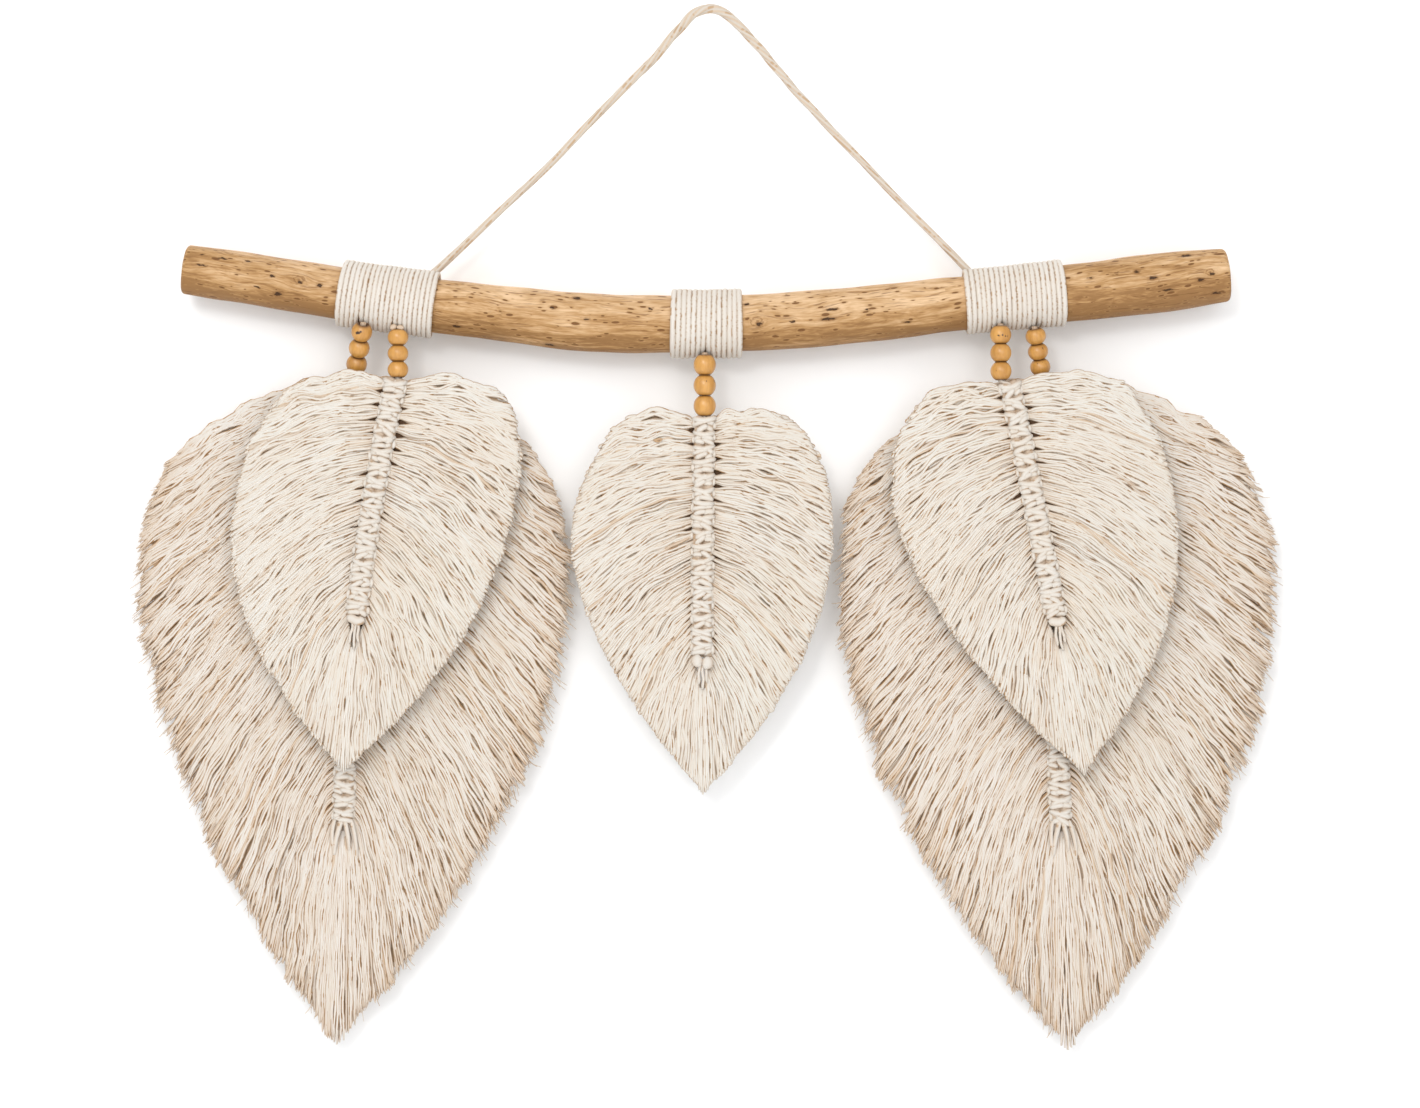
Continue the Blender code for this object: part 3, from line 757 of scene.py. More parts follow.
def make_branch(material):
    """Bent round rod. Its radius is the stations' curve plus slow bumps, knots and grooves, less
    a dent under each hole; at both ends the rings close over a softened rim to the middle."""
    rng = np.random.default_rng(11)
    start, end = BRANCH_STATIONS[[0, -1], 0]
    bend = np.linspace(math.pi / 2, 0.0, 6)[:-1]
    from_end = np.concatenate([np.zeros(len(FACE_RINGS)), BRANCH_RIM * (1 - np.sin(bend))])
    inward = np.concatenate([np.full(len(FACE_RINGS), BRANCH_RIM), BRANCH_RIM * (1 - np.cos(bend))])
    shrink = np.concatenate([FACE_RINGS, np.ones(len(bend))])
    body = np.linspace(start + BRANCH_RIM, end - BRANCH_RIM, BODY_RINGS)
    along = np.concatenate([start + from_end, body, end - from_end[::-1]])
    inward = np.concatenate([inward, 0.0 * body, inward[::-1]])[:, None]
    shrink = np.concatenate([shrink, np.ones(BODY_RINGS), shrink[::-1]])[:, None]
    full = shrink == 1.0
    x, a = along[:, None], TURN * np.arange(BRANCH_SIDES)[None, :] / BRANCH_SIDES
    radius = branch_line(x)[1]
    relief = (0.00042 * ripple(rng, x, a, (12.0, 60.0), (1, 3))
              + 0.00016 * ripple(rng, x, a, (60.0, 190.0), (3, 8))
              + 0.00010 * ripple(rng, x, a, (20.0, 70.0), (9, 20)))
    dents = np.zeros_like(relief)
    for hole_along, share, half_length, half_width in BRANCH_HOLES:
        apart = turned_from(a, -math.acos(share)) * radius
        near = ((x - hole_along) / (half_length * 1.3))**2 + (apart / (half_width * 1.5))**2
        dents = np.maximum(dents, np.exp(-near) * min(1.0, half_width / 0.0012))
    grown = 0.0006 * np.exp(-((x - 0.0300) / 0.009)**2 - (turned_from(a, -math.pi / 2) / 0.5)**2)
    out = (radius - inward + (relief + grown - 0.0009 * dents) * full) * shrink
    made = skin(on_branch(x, a, out)[None], along[None],
                ends=[on_branch(np.array([at]), 0.0, 0.0) for at in (start, end)])
    grain = np.stack(np.broadcast_arrays(x, out * np.cos(a), out * np.sin(a)), -1).reshape(-1, 3)
    made.marks = {"grain": np.concatenate([grain, [[start, 0.0, 0.0], [end, 0.0, 0.0]]]),
                  "sawn": np.append(np.repeat(~full, BRANCH_SIDES), [1.0, 1.0]),
                  "dent": np.append(dents, [0.0, 0.0])}
    piece("driftwood_branch", made, material, "branch")


# ------------------------------------------------------------------ wound and twisted cord

STEPS_A_TURN = 40
PLY_OFF, PLY_RADIUS = 0.00090, 0.00172       # hanging cord's plies: middles off its own, radius
LAY_ON_LEGS, LAY_OVER_NAIL = 0.210, 0.050    # length in which the plies turn once
INTO_WRAP = 0.0022          # how far the cord runs on under a wrap


def make_wrap(row, number, material):
    """Cord wound round the branch: a helix whose distance out is the branch's radius plus the
    wrap's thickness less half a cord. Both ends come down to the branch behind it, and the turns
    part and draw in where a strand leaves between them."""
    name, start, end, turns, thickness, lift = row
    rng = np.random.default_rng(40 + number)
    pitch = (end - start) / turns
    half = pitch * 0.570
    n = np.linspace(0.0, turns, turns * STEPS_A_TURN + 1)
    whole = np.arange(turns + 2)
    turn = TURN * n + 0.5 * math.pi
    settle = [np.interp(n, whole, drawn) for drawn in
              np.clip(rng.normal(0.0, 1.0, (3, turns + 2)), -1.5, 1.5)]
    along = start + pitch * np.clip(n, 0.42, turns - 0.42)
    along = along + 0.00013 * settle[0] + 0.00010 * np.sin(turn * 2 + 2.0 * settle[1])
    radius = branch_line(along)[1]
    lowest = half * 1.05
    edge = np.minimum(ease(n / 0.4), ease((turns - n) / 0.4))
    plumper = 0.0005 if turns > 14 else 0.0002
    seat = lowest + (thickness + plumper - 2.0 * lowest + 0.00014 * settle[2]) * edge
    below = np.exp(-(turned_from(turn, math.pi + 0.30) / 0.42)**2)
    for first, _, _ in BEAD_STRINGS.values():
        off = along - first[0]
        seat = seat - 0.0012 * np.exp(-(off / 0.0030)**2) * below
        along = along + 0.0009 * np.exp(-(off / 0.0034)**2) * below * np.tanh(off / 0.0010)
    where = on_branch(along, turn, radius + seat, lift * edge)
    outward = unit(on_branch(along, turn, radius + seat + 0.01, lift * edge) - where)
    radii = half * (1.0 + 0.03 * np.sin(37.0 * n + settle[1]))
    shade = 0.15 + 0.30 * np.interp(n, whole, rng.random(turns + 2))
    made = tubes(where[None], radii[None], 8, outward[None], flatness=1.02, shade=shade[None])
    piece("wound_cord_" + name.split("_")[1], made, material, name)


def make_hanging_cord(material):
    """Three-ply cord over the nail. Its section is the outline of three round plies side by side,
    and turns once over each lay length along the smooth curve of the route. The plies are laid
    long on the legs and closer where the cord bends over the nail, where it is plumper too."""
    knots = run_along(CORD_ROUTE)
    at = np.linspace(-INTO_WRAP, knots[-1] + INTO_WRAP, 440)
    x, z = (through(knots, heights, np.clip(at, 0.0, knots[-1])) for heights in CORD_ROUTE.T)
    line = np.stack([x, np.zeros_like(x), z], axis=1)
    line[:, [0, 2]] += (np.minimum(at, 0.0)[:, None] * unit(CORD_ROUTE[1] - CORD_ROUTE[0])
                        + np.maximum(at - knots[-1], 0.0)[:, None]
                        * unit(CORD_ROUTE[-1] - CORD_ROUTE[-2]))
    tangent = unit(np.gradient(line, axis=0))
    back = np.array([0.0, 1.0, 0.0])
    beside = np.cross(tangent, back)
    run = run_along(line)
    over_nail = np.exp(-((line[:, 0] - 0.012) / 0.050)**2)
    turns = 0.12 + np.cumsum(np.gradient(run) * (
        1.0 / LAY_ON_LEGS + (1.0 / LAY_OVER_NAIL - 1.0 / LAY_ON_LEGS) * over_nail))
    plump = (1.0 + 0.17 * np.exp(-(line[:, 0] / 0.028)**2)
             - 0.15 * np.exp(-((np.abs(line[:, 0]) - 0.120) / 0.060)**2))
    angle = TURN * np.arange(24) / 24
    in_ply = (angle + math.pi / 3) % (TURN / 3) - math.pi / 3
    reach = PLY_OFF * np.cos(in_ply) + np.sqrt(PLY_RADIUS**2 - (PLY_OFF * np.sin(in_ply))**2)
    turned = angle[None, :] - TURN * turns[:, None]
    rings = (line[:, None] + reach[None, :, None] * plump[:, None, None]
             * (np.cos(turned)[..., None] * back + np.sin(turned)[..., None] * beside[:, None]))
    ends = (line[:1] - tangent[:1] * 0.001, line[-1:] + tangent[-1:] * 0.001)
    made = skin(rings[None], run[None], around_turns=3.0, ends=ends, shade=0.32)
    cord = piece("twisted_hanging_cord", made, material, "hanging_cord")
    line[::4].tolist() + [line[-1].tolist()]


# ------------------------------------------------------------------ beads

def make_beads(material):
    """Turned beads: an oval arc for the outside, a rounded rim and a straight bore, spun round."""
    bore, lip, sides = BEAD_BORE / 2, BEAD_BORE / 2 + 0.0003, 32
    angle = TURN * np.arange(sides) / sides
    for leaf_name, (first, last, diameter) in BEAD_STRINGS.items():
        first, last = np.array(first), np.array(last)
        run = np.linalg.norm(last - first)
        axis = (first - last) / run
        pitch = run / 2
        height = pitch - GAP / 6
        rim = math.acos((bore + BEAD_RIM) / (diameter / 2))
        oval = height / 2 / math.sin(rim)
        arc = np.linspace(rim, -rim, 17)
        out = np.concatenate([[lip], diameter / 2 * BEAD_SWELL * np.cos(arc), [lip],
                              np.full(4, bore)])
        up = np.concatenate([[height / 2], oval * np.sin(arc), [-height / 2],
                             height / 2 * np.array([-0.96, -0.4, 0.4, 0.96])])
        across = unit(np.cross(axis, np.array([0.0, 1.0, 0.0])))
        circle = (np.cos(angle)[:, None] * across
                  + np.sin(angle)[:, None] * np.cross(across, axis))
        # Painted shade: darker towards the bore, for the creases where the beads meet.
        dark = np.exp(-(np.clip(out - bore - 0.0006, 0.0, None) / 0.00110)**2)
        rng = np.random.default_rng(len(leaf_name) * 7 + int(abs(first[0]) * 1e4))
        for number in range(3):
            middle = first - axis * pitch * number
            spin = rng.uniform(0.0, TURN)
            made = skin((middle + up[:, None, None] * axis + out[:, None, None] * circle)[None],
                        up[None])
            grain = np.stack(np.broadcast_arrays(
                up[:, None] + rng.uniform(0, 0.4), out[:, None] * np.cos(angle + spin)
                + rng.uniform(0, 0.4), out[:, None] * np.sin(angle + spin)), -1)
            made.marks = {"grain": grain.reshape(-1, 3), "bore": np.repeat(dark, sides)}
            name = leaf_name.replace("leaf", "bead") + "_" + str(number + 1)
            piece("turned_" + name, made, material, name)


# ------------------------------------------------------------------ leaves

class Leaf:
    """Flat shape of one leaf. Out is the distance to a side of its axis, down that along it."""

    def __init__(self, name, top_x, top_z, tip_x, tip_z, depth, bow, knots, tail_locks, arch,
                 frayed):
        self.name, self.depth, self.bow, self.arch, self.frayed = name, depth, bow, arch, frayed
        self.knots, self.tail_locks, self.locks = knots, tail_locks, knots + tail_locks
        self.top = np.array([top_x, top_z])
        along = np.array([tip_x, tip_z]) - self.top
        self.length = float(np.linalg.norm(along))
        self.along = along / self.length
        self.across = np.array([-self.along[1], self.along[0]])

    def place(self, side, out, down, depth):
        """World points of flat places on one side of the leaf."""
        bowed = self.bow * np.sin(np.pi * np.clip(down / self.length, 0.0, 1.0))
        beside = side * out + bowed
        return np.stack(np.broadcast_arrays(
            self.top[0] + self.across[0] * beside + self.along[0] * down, self.depth + depth,
            self.top[1] + self.across[1] * beside + self.along[1] * down), axis=-1)

    def outline(self, side, share):
        """Point at a share of the arc length from the first tip to the leaf's own tip."""
        half, widest, rise, shoulder, taper, first = OUTLINES[self.name, side]
        turn = np.linspace(math.acos((first / half)**(shoulder / 2)), 0.0, OUTLINE_POINTS)
        u = np.linspace(0.0, 1.0, OUTLINE_POINTS)[1:]
        out = np.concatenate([half * np.cos(turn)**(2 / shoulder), half * (1 - u**taper)])
        down = np.concatenate([widest - (widest + rise) * np.sin(turn)**(2 / shoulder),
                               widest + u * (self.length - widest)])
        run = run_along(np.stack([out, down], axis=-1))
        return np.interp(share * run[-1], run, out), np.interp(share * run[-1], run, down)

    def root(self, s):
        """Place on the side of the spine, or of the tail below it."""
        number = s * self.locks
        on_tail = np.clip(number - self.knots, 0.0, None)
        down = np.minimum(number, self.knots) * KNOT_PITCH + on_tail * TAIL_PITCH
        out = SPINE_HALF - (SPINE_HALF - TAIL_HALF) * on_tail / self.tail_locks
        return out, down

    def flow(self, side, s, t):
        """Point at share t along the strand that starts at share s of the spine.

        The strand is a cubic curve from its root to its tip on the outline. It leaves the spine
        above its chord and ends below it, and both bends fade out towards the leaf's tip.
        """
        root, tip = self.root(s), self.outline(side, TIP_REACH * s**TIP_CROWDING)
        out, down = tip[0] - root[0], tip[1] - root[1]
        angle = np.arctan2(down, out)
        leave = angle - np.radians(BEND_OUT * (1 - s**8))
        arrive = angle + np.radians(BEND_IN * (1 - s**4) + self.arch * np.exp(-s / ARCH_FADE))
        reach = BEND_REACH * np.hypot(out, down)
        r = 1 - t
        return [r**3 * from_root + 3 * r * r * t * (from_root + reach * turned(leave))
                + 3 * r * t * t * (to_tip - reach * turned(arrive)) + t**3 * to_tip
                for from_root, to_tip, turned in zip(root, tip, (np.cos, np.sin))]

    def fingers(self, s):
        """Middle of the bunch in which a strand leaves the spine: one bunch for each knot above,
        two for each knot below."""
        number = s * self.locks
        width = np.where(number < self.knots * 0.5, 1.0, 0.5)
        return (np.floor(number / width) + 0.5) * width / self.locks


# Half of a leaf's thickness, at shares of the way along its strands.
HALF_AT = (-0.05, 0.06, 0.18, 0.70, 1.0)
HALF_THICKNESS = (0.0008, 0.0020, 0.0028, 0.0023, 0.0012)
STRAND_LAYERS = {
    # frayed: layer, strands on a side, place between the middle and the face, radius, rings,
    # warmth added
    False: (("front", 164, -1.0, 0.00096, 28, 0.00),
            ("inside", 105, -0.70, 0.00118, 8, 0.30),
            ("back", 112, 1.0, 0.00120, 9, 0.10)),
    True: (("front", 278, -1.0, 0.00096, 28, 0.05),
           ("inside", 170, -0.62, 0.00118, 8, 0.30),
           ("back", 188, 1.0, 0.00122, 9, 0.15)),
}


def grouped(rng, s, groups, jitter):
    """Number, middle and half width of the group that each strand belongs to, with uneven group
    edges."""
    edges = (np.arange(1, groups) + rng.uniform(-jitter, jitter, groups - 1)) / groups
    full = np.concatenate([[0.0], edges, [1.0]])
    which = np.searchsorted(edges, s)
    return which, (full[which] + full[which + 1]) / 2, (full[which + 1] - full[which]) / 2


def moved_aside(out, down, by):
    """Flat points of strands, each moved square to its strand by a distance."""
    along_out, along_down = np.gradient(out, axis=1), np.gradient(down, axis=1)
    size = np.hypot(along_out, along_down)
    return out - along_down / size * by, down + along_out / size * by


def strand_layer(leaf, side, layer, seed):
    """Combed strands of one layer of a half leaf.

    Each follows the leaf's flow lines from the spine to the outline, drawn together where it
    leaves a knot, with three sine sways: one shared by the whole half, one by its small group
    and one of its own. The half leaf lies in clumps that overlap like shingles, and the tips of
    frayed ones are drawn into small tufts.
    """
    label, count, level, radius, rings, warmth = layer
    frayed, front, inside = leaf.frayed, label == "front", label == "inside"
    each = (count, 1)
    rng = np.random.default_rng(seed)
    shared_rng = np.random.default_rng(seed // 10)
    steps = np.concatenate([[-0.030, 0.012, 0.035, 0.065, 0.11], np.linspace(
        0.165, 0.955, rings - 7), [0.985, 1.0]])

    # Where each starts on the spine, and its groups.
    s = np.clip((np.arange(count) + 0.5 + rng.uniform(-0.35, 0.35, count)) / count, 0.0, 1.0)
    s = np.clip(s**1.30, 0.002, 0.998)[:, None]
    s = s + {"front": 0.0, "inside": 0.022, "back": 0.010}[label] * (1.0 - s)
    tufts = 34 if frayed else 24
    tuft, tuft_middle, _ = grouped(shared_rng, s[:, 0], tufts, 0.35)
    small_groups = count // (5 if frayed else 4)
    small, small_middle, small_half = grouped(rng, s[:, 0], small_groups, 0.40)

    # How far each reaches past the outline or stops short of it.
    if frayed:
        end = (1.0 + shared_rng.uniform(-0.024, 0.016, tufts)[tuft]
               + rng.uniform(-0.018, 0.014, small_groups)[small]
               - 0.006 * np.abs(s[:, 0] - small_middle) / small_half
               + rng.normal(0.0, 0.009, count) - 0.008 * (not front))
    else:
        end = (1.0 + rng.normal(0.0, 0.005, count) + rng.normal(0.0, 0.003, small_groups)[small]
               - 0.012 * inside)
        end = end + np.exp(-(s[:, 0] / 0.14)**2) * (
            0.012 - 0.050 * rng.random(small_groups)[small] - 0.020 * rng.random(count))
    end = np.clip(end, 0.88, 1.03)[:, None]
    t = steps[None, :] * end
    t[:, 0] = steps[0]

    # Gathered at the knots, and drawn into tufts and small groups at the tips.
    middle = leaf.fingers(s)
    gathered = 0.70 + 0.20 * np.sin(37.0 * middle * leaf.locks + side)
    s_now = middle + (s - middle) * (gathered + (1.0 - gathered) * ease(t / 0.10))
    for group_middle, drawn_in, begin in ((tuft_middle, 0.08 if frayed else 0.05, 0.40),
                                          (small_middle, 0.25 if frayed else 0.06, 0.72)):
        s_now = s_now + (group_middle - s[:, 0])[:, None] * drawn_in * ease(
            (t - begin) / (1.0 - begin))
    s_now = np.clip(s_now, 0.0, 1.0)

    # Clumps: each rises at its lower edge and sinks under the next at its upper one.
    clumps = 13 if frayed else 7
    bent = s + 0.010 * np.sin(TURN * (t * 0.9 + 3.0 * s))
    which, clump_middle, clump_half = grouped(shared_rng, bent, clumps, 0.30)
    across_clump = 0.5 + 0.5 * (bent - clump_middle) / clump_half
    begin = shared_rng.uniform(0.05, 0.50, clumps + 1)
    strength = shared_rng.uniform(0.35, 1.0, clumps + 1)

    def at_clump_edge(clump, off, width, rise):
        """Strength of a clump's edge at a share of its width away from that edge."""
        return strength[clump] * ease((t - begin[clump]) / rise) * np.exp(-(off / width)**2)

    lift_here = at_clump_edge(which + 1, 1.0 - across_clump, 0.30, 0.35) * (which < clumps - 1)
    sink_here = at_clump_edge(which, across_clump, 0.30, 0.35) * (which > 0)
    # Painted shadow along the seam where a clump sinks under the next.
    seam = at_clump_edge(which, across_clump, 0.045, 0.25) * (which > 0)

    # The flat line of each, with its sways.
    out, down = leaf.flow(side, s_now, t)
    run = run_along(np.stack([out, down], axis=-1))
    group_sway = sway(rng, small_groups, run, 0.022, 0.046, small)
    own_sway = sway(rng, count, run, 0.014, 0.034)
    shared = sum(np.sin(TURN * (ks * s + kt * t) + phase) for ks, kt, phase in zip(
        shared_rng.uniform(3.0, 11.0, 5), shared_rng.uniform(0.5, 2.4, 5),
        shared_rng.uniform(0.0, 6.28, 5))) / 2.2
    free = ease((t - 0.02) / 0.22)
    by = free * (0.00070 * shared + (0.00062 * group_sway + 0.00048 * own_sway)
                 * (1.0 + 1.2 * np.exp(-s / 0.08) + 0.5 * np.exp(-s / 0.35)))
    if frayed:
        astray = rng.uniform(-1.0, 1.0, small_groups)[small][:, None]
        by = by + ease((t - 0.55) / 0.45) * (0.0009 * astray
                                             + 0.0008 * rng.uniform(-1.0, 1.0, each))
    out, down = moved_aside(out, down, by * (1.0 - 0.6 * ease((s - 0.9) / 0.1)))
    down = down - 0.0034 * (0.22 + 0.78 * s) * np.exp(-run / 0.0048)
    bulge = (0.0052 if frayed else 0.0016) * ease(s / 0.5) * (1.0 - ease((s - 0.85) / 0.14))
    out = out + bulge * (1.0 - np.exp(-run / 0.0028)) * np.exp(-run / 0.032)

    # Its depth.
    half = np.interp(t, HALF_AT, HALF_THICKNESS)
    stacked = rng.integers(0, 3, count)[:, None] * 0.0009 * (1.0 - ease(t / 0.40))
    under = (rng.choice([0.0, 0.00025, 0.00064 if frayed else 0.00055], each)
             * (1.0 - 0.5 * ease(t)) + 0.0006 * rng.random(each) * ease((s - 0.65) / 0.3))
    depth = level * half - np.sign(level) * (stacked + under * (not inside))
    depth = depth + free * (0.00026 * sway(rng, count, run, 0.016, 0.040)
                            + 0.00020 * rng.normal(0.0, 1.0, each))
    if level < 0:
        depth = depth - (0.0019 if frayed else 0.0008) * (lift_here - 0.4 * sink_here)
        rise = 0.00042 if frayed else 0.00035
        depth = depth + free * rise * rng.normal(0.0, 1.0, small_groups)[small][:, None]
    if frayed:
        drawn = shared_rng.normal(0.0, 0.0007, tufts)[tuft][:, None]
        depth = depth + ease((t - 0.5) / 0.5) * drawn
    elif not inside:
        depth = depth - level * 0.0015 * ease((t - 0.955) / 0.045)

    # Its thickness, and its marks: its shade of colour, warmer on the inside layer as painted
    # shade, its frayed tip, and painted shade in the seams, at its root and by the knots.
    thick = radius * rng.uniform(0.88, 1.12, each)
    closing = np.ones(rings)
    closing[-3:] = (0.92, 0.60, 0.18) if frayed else (1.0, 0.97, 0.60)
    radii = thick * closing * (0.85 + 0.15 * ease(t / 0.1)) * (
        1.0 + 0.16 * ease((t - 0.15) / 0.6) * (1.0 - ease((s - 0.6) / 0.3)))
    shade = np.clip(rng.beta(2.0, 3.2, each) + warmth, 0.0, 0.89)
    # Painted shade: the inside layer, seen only through the gaps, is drawn warm and darker to stand
    # for the shade between the outer strands.
    if inside:
        shade = rng.uniform(0.70, 0.93, each)
    shade = np.where(rng.random(each) < (0.035 if frayed else 0.02), 0.99, shade)
    tip = ease((t - 0.84) / 0.16) * rng.uniform(0.1, 1.0, each) if frayed else 0.0
    # Painted shade: dark at the roots, along the seams between clumps and near the edges of each
    # bunch by the spine.
    root = 1.0 - ease((t - 0.01) / 0.06)
    at_edge = np.clip(np.abs(s - middle) * 2.0 * leaf.locks, 0.0, 1.0)
    fold = np.maximum(0.80 * seam * (level < 0), 0.16 * root)
    fold = np.maximum(fold, 0.85 * at_edge**3 * np.exp(-(run / 0.0042)**2))
    return tubes(leaf.place(side, out, down, depth), radii, 4, shade=shade, fold=fold, tip=tip)


def stray_wisps(leaf, side, seed):
    """Thin loose fibres at the frayed edge, each carrying on a strand's line a little further."""
    rng = np.random.default_rng(seed)
    each = (240, 1)
    s = np.sort(rng.uniform(0.02, 0.98, each), axis=0)
    start = rng.uniform(0.93, 0.98, each)
    end = np.minimum(start + rng.uniform(0.02, 0.07, each), 1.032)
    share = np.linspace(0.0, 1.0, 4)[None, :]
    out, down = leaf.flow(side, s, start + (end - start) * share)
    out, down = moved_aside(out, down, rng.normal(0.0, 0.0016, each) * share**1.6)
    depth = rng.uniform(-0.0022, 0.0015, each) + rng.normal(0, 0.0010, each) * share
    radii = rng.uniform(0.00024, 0.00044, each) * (1.0 - 0.6 * share)
    return tubes(leaf.place(side, out, down, depth), radii, 4,
                 shade=rng.uniform(0.1, 0.8, each), tip=0.2 + 0.6 * share)


def middle_strands(leaf, seed):
    """Strands that run on from the spine's lower end to the leaf's tip, between both halves."""
    rng = np.random.default_rng(seed)
    steps = np.linspace(-0.09 if leaf.frayed else -0.02, 1.0, 16)
    share = np.linspace(-0.9, 0.9, 5)[:, None]
    (left_out, left_down), (right_out, right_down) = (
        leaf.flow(side, np.ones(16), steps) for side in (-1, 1))
    made = []
    for level in (-1.0, 1.0):
        out = np.where(share < 0, share * left_out, share * right_out)
        down = (np.where(share < 0, left_down, right_down)
                + (0.0045 - 0.003 * np.abs(share)) * ease((steps - 0.6) / 0.4))
        out = out + 0.0006 * ease(steps / 0.3) * sway(rng, 5, down, 0.02, 0.05)
        depth = level * (np.interp(steps, HALF_AT, HALF_THICKNESS)
                         - rng.uniform(0.0, 0.0010, (5, 1)))
        made.append(tubes(leaf.place(1, out, down, depth),
                          0.00088 * np.append(np.ones(15), 0.5)[None], 5,
                          shade=rng.uniform(0.1, 0.5, (5, 1))))
    return made


def husk_fleck():
    """Brown fleck of cotton husk caught in the middle leaf: three short ropes side by side."""
    q = np.linspace(-1.0, 1.0, 7)[None, :, None]
    middle = np.array([[[-0.0317, -0.0128, -0.2605]], [[-0.0322, -0.0127, -0.2617]],
                       [[-0.0298, -0.0126, -0.2612]]])
    reach = np.array([[[0.0024, 0.0, 0.0004]], [[0.0016, 0.0, -0.0003]], [[0.0009, 0.0, 0.0007]]])
    radii = np.array([[0.0008], [0.0007], [0.0006]]) * np.sqrt(1.0 - (0.8 * q[..., 0])**2)
    # The values of this mark here are the fleck's own brown, not shade.
    return tubes(middle + reach * q, radii, 6, shade=0.99, tip=1.0,
                 fold=np.array([[0.70], [0.90], [0.55]]))


def painted_shade_sheet(leaf, side):
    """Closed thin lens inside a half leaf: rings along the spine, each out along a flow line on
    the front and back again behind it. It carries the painted shade seen through the gaps between
    the strands."""
    s = np.linspace(0.004, 0.996, 44)[:, None]
    t = np.linspace(-0.02, 0.92, 14)[None, :] + 0.0 * s
    out, down = leaf.flow(side, s, t)
    half = np.interp(t, HALF_AT, HALF_THICKNESS) * 0.14 * (1.0 - 0.8 * ease((t - 0.75) / 0.18))
    rings = np.concatenate([leaf.place(side, out, down, -half),
                            leaf.place(side, out, down, half)[:, ::-1]], axis=1)[None]
    made = skin(rings, s[None, :, 0], ends=(rings[:, 0].mean(axis=1), rings[:, -1].mean(axis=1)))
    # Painted shade: nearly black by the spine.
    root = 1.0 - ease((t - 0.06) / 0.12)
    made.marks = {"root": np.append(np.concatenate([root, root[:, ::-1]], axis=1), [1.0, 1.0])}
    return made


def make_fringe(leaf, number, strands, inside):
    """Both halves of a leaf's fringe, and the dark sheet of painted shade inside it."""
    for side, label in ((-1, "left_half"), (1, "right_half")):
        seed = 1000 + number * 200 + (side + 1) * 50
        parts = [strand_layer(leaf, side, layer, seed + order)
                 for order, layer in enumerate(STRAND_LAYERS[leaf.frayed])]
        if leaf.frayed:
            parts.append(stray_wisps(leaf, side, seed + 7))
        if side == 1:
            parts += middle_strands(leaf, seed + 8)
        if leaf.name == "leaf_small_middle" and side == -1:
            parts.append(husk_fleck())
        piece(leaf.name.replace("leaf", "fringe") + "_" + label, together(parts), strands,
              leaf.name)
    sheet = together([painted_shade_sheet(leaf, side) for side in (-1, 1)])
    piece(leaf.name.replace("leaf", "inner_layer"), sheet, inside, leaf.name)


# ------------------------------------------------------------------ knotted spines

KNOT_ROPE = 0.00225          # radius of the knots' rope


def knot_ropes(knots, each, points, seed):
    """Seeded draws, knot, side and places along for the ropes of a spine's knots, and the shape
    of a draw for each rope."""
    number = np.arange(each * knots)[:, None]
    return (np.random.default_rng(seed), number // each, 2.0 * (number % 2) - 1.0,
            np.linspace(-1.0, 1.0, points)[None, :], (each * knots, 1))


def plump(q):
    """Share of its full radius that a rope with round ends has along it: that of an ellipse."""
    return np.sqrt(1.0 - q**2)


def rope_run(leaf, across, down, depth, radii, sides, shade, facing=None, around_from=0.25):
    """Tubes from places on the leaf, across its axis, down it and in front of its middle."""
    if facing is None:
        facing = (leaf.along[0], 0.0, leaf.along[1])
    return tubes(leaf.place(1, across, down, depth), radii, sides, facing, around_from,
                 shade=shade)


def knot_bars(leaf, knots, seed):
    """Wide bar of each square knot behind the spine, bowed from one side to the other.

    Its depth falls off to the fourth power towards both ends, and its radius to the sixth.
    """
    rng, row, _, q, shape = knot_ropes(knots, 1, 7, seed)
    across = SPINE_HALF * rng.uniform(0.88, 1.00, shape) * q + rng.normal(0.0, 0.0003, shape)
    down = ((row + 0.26) * KNOT_PITCH + rng.normal(0.0, 0.00075, shape) * q
            + rng.uniform(-0.0003, 0.0020, shape) * (q**2 - 0.4) + rng.normal(0.0, 0.0003, shape))
    depth = 0.0038 * (1.0 - 0.85 * np.abs(q)**4)
    radii = KNOT_ROPE * (1.0 - 0.22 * np.abs(q)**6) * rng.uniform(0.94, 1.08, shape)
    return rope_run(leaf, across, down, depth, radii, 6, rng.uniform(0.08, 0.42, shape))


def knot_cups(leaf, knots, seed):
    """First rope of each knot: a cup that hangs from both sides of the spine to its middle.

    It rises from its lowest place to the power 1.6, and its depth falls off to the fourth power
    towards both ends.
    """
    rng, row, _, q, shape = knot_ropes(knots, 1, 12, seed)
    low = rng.uniform(-0.22, 0.22, shape)
    across = SPINE_HALF * rng.uniform(0.90, 1.02, shape) * q
    down = ((row + 0.06) * KNOT_PITCH + rng.uniform(0.0006, 0.0028, shape)
            * (1.0 - np.clip(np.abs(q - low), 0.0, 1.0)**1.6) + rng.normal(0.0, 0.0004, shape) * q)
    depth = -(0.0043 + rng.normal(0.0, 0.0002, shape)) * (1.0 - 0.80 * np.abs(q)**4)
    radii = 0.00182 * rng.uniform(0.90, 1.10, shape) * (1.0 - 0.12 * np.abs(q)**4)
    return rope_run(leaf, across, down, depth, radii, 7, rng.uniform(0.05, 0.35, shape))


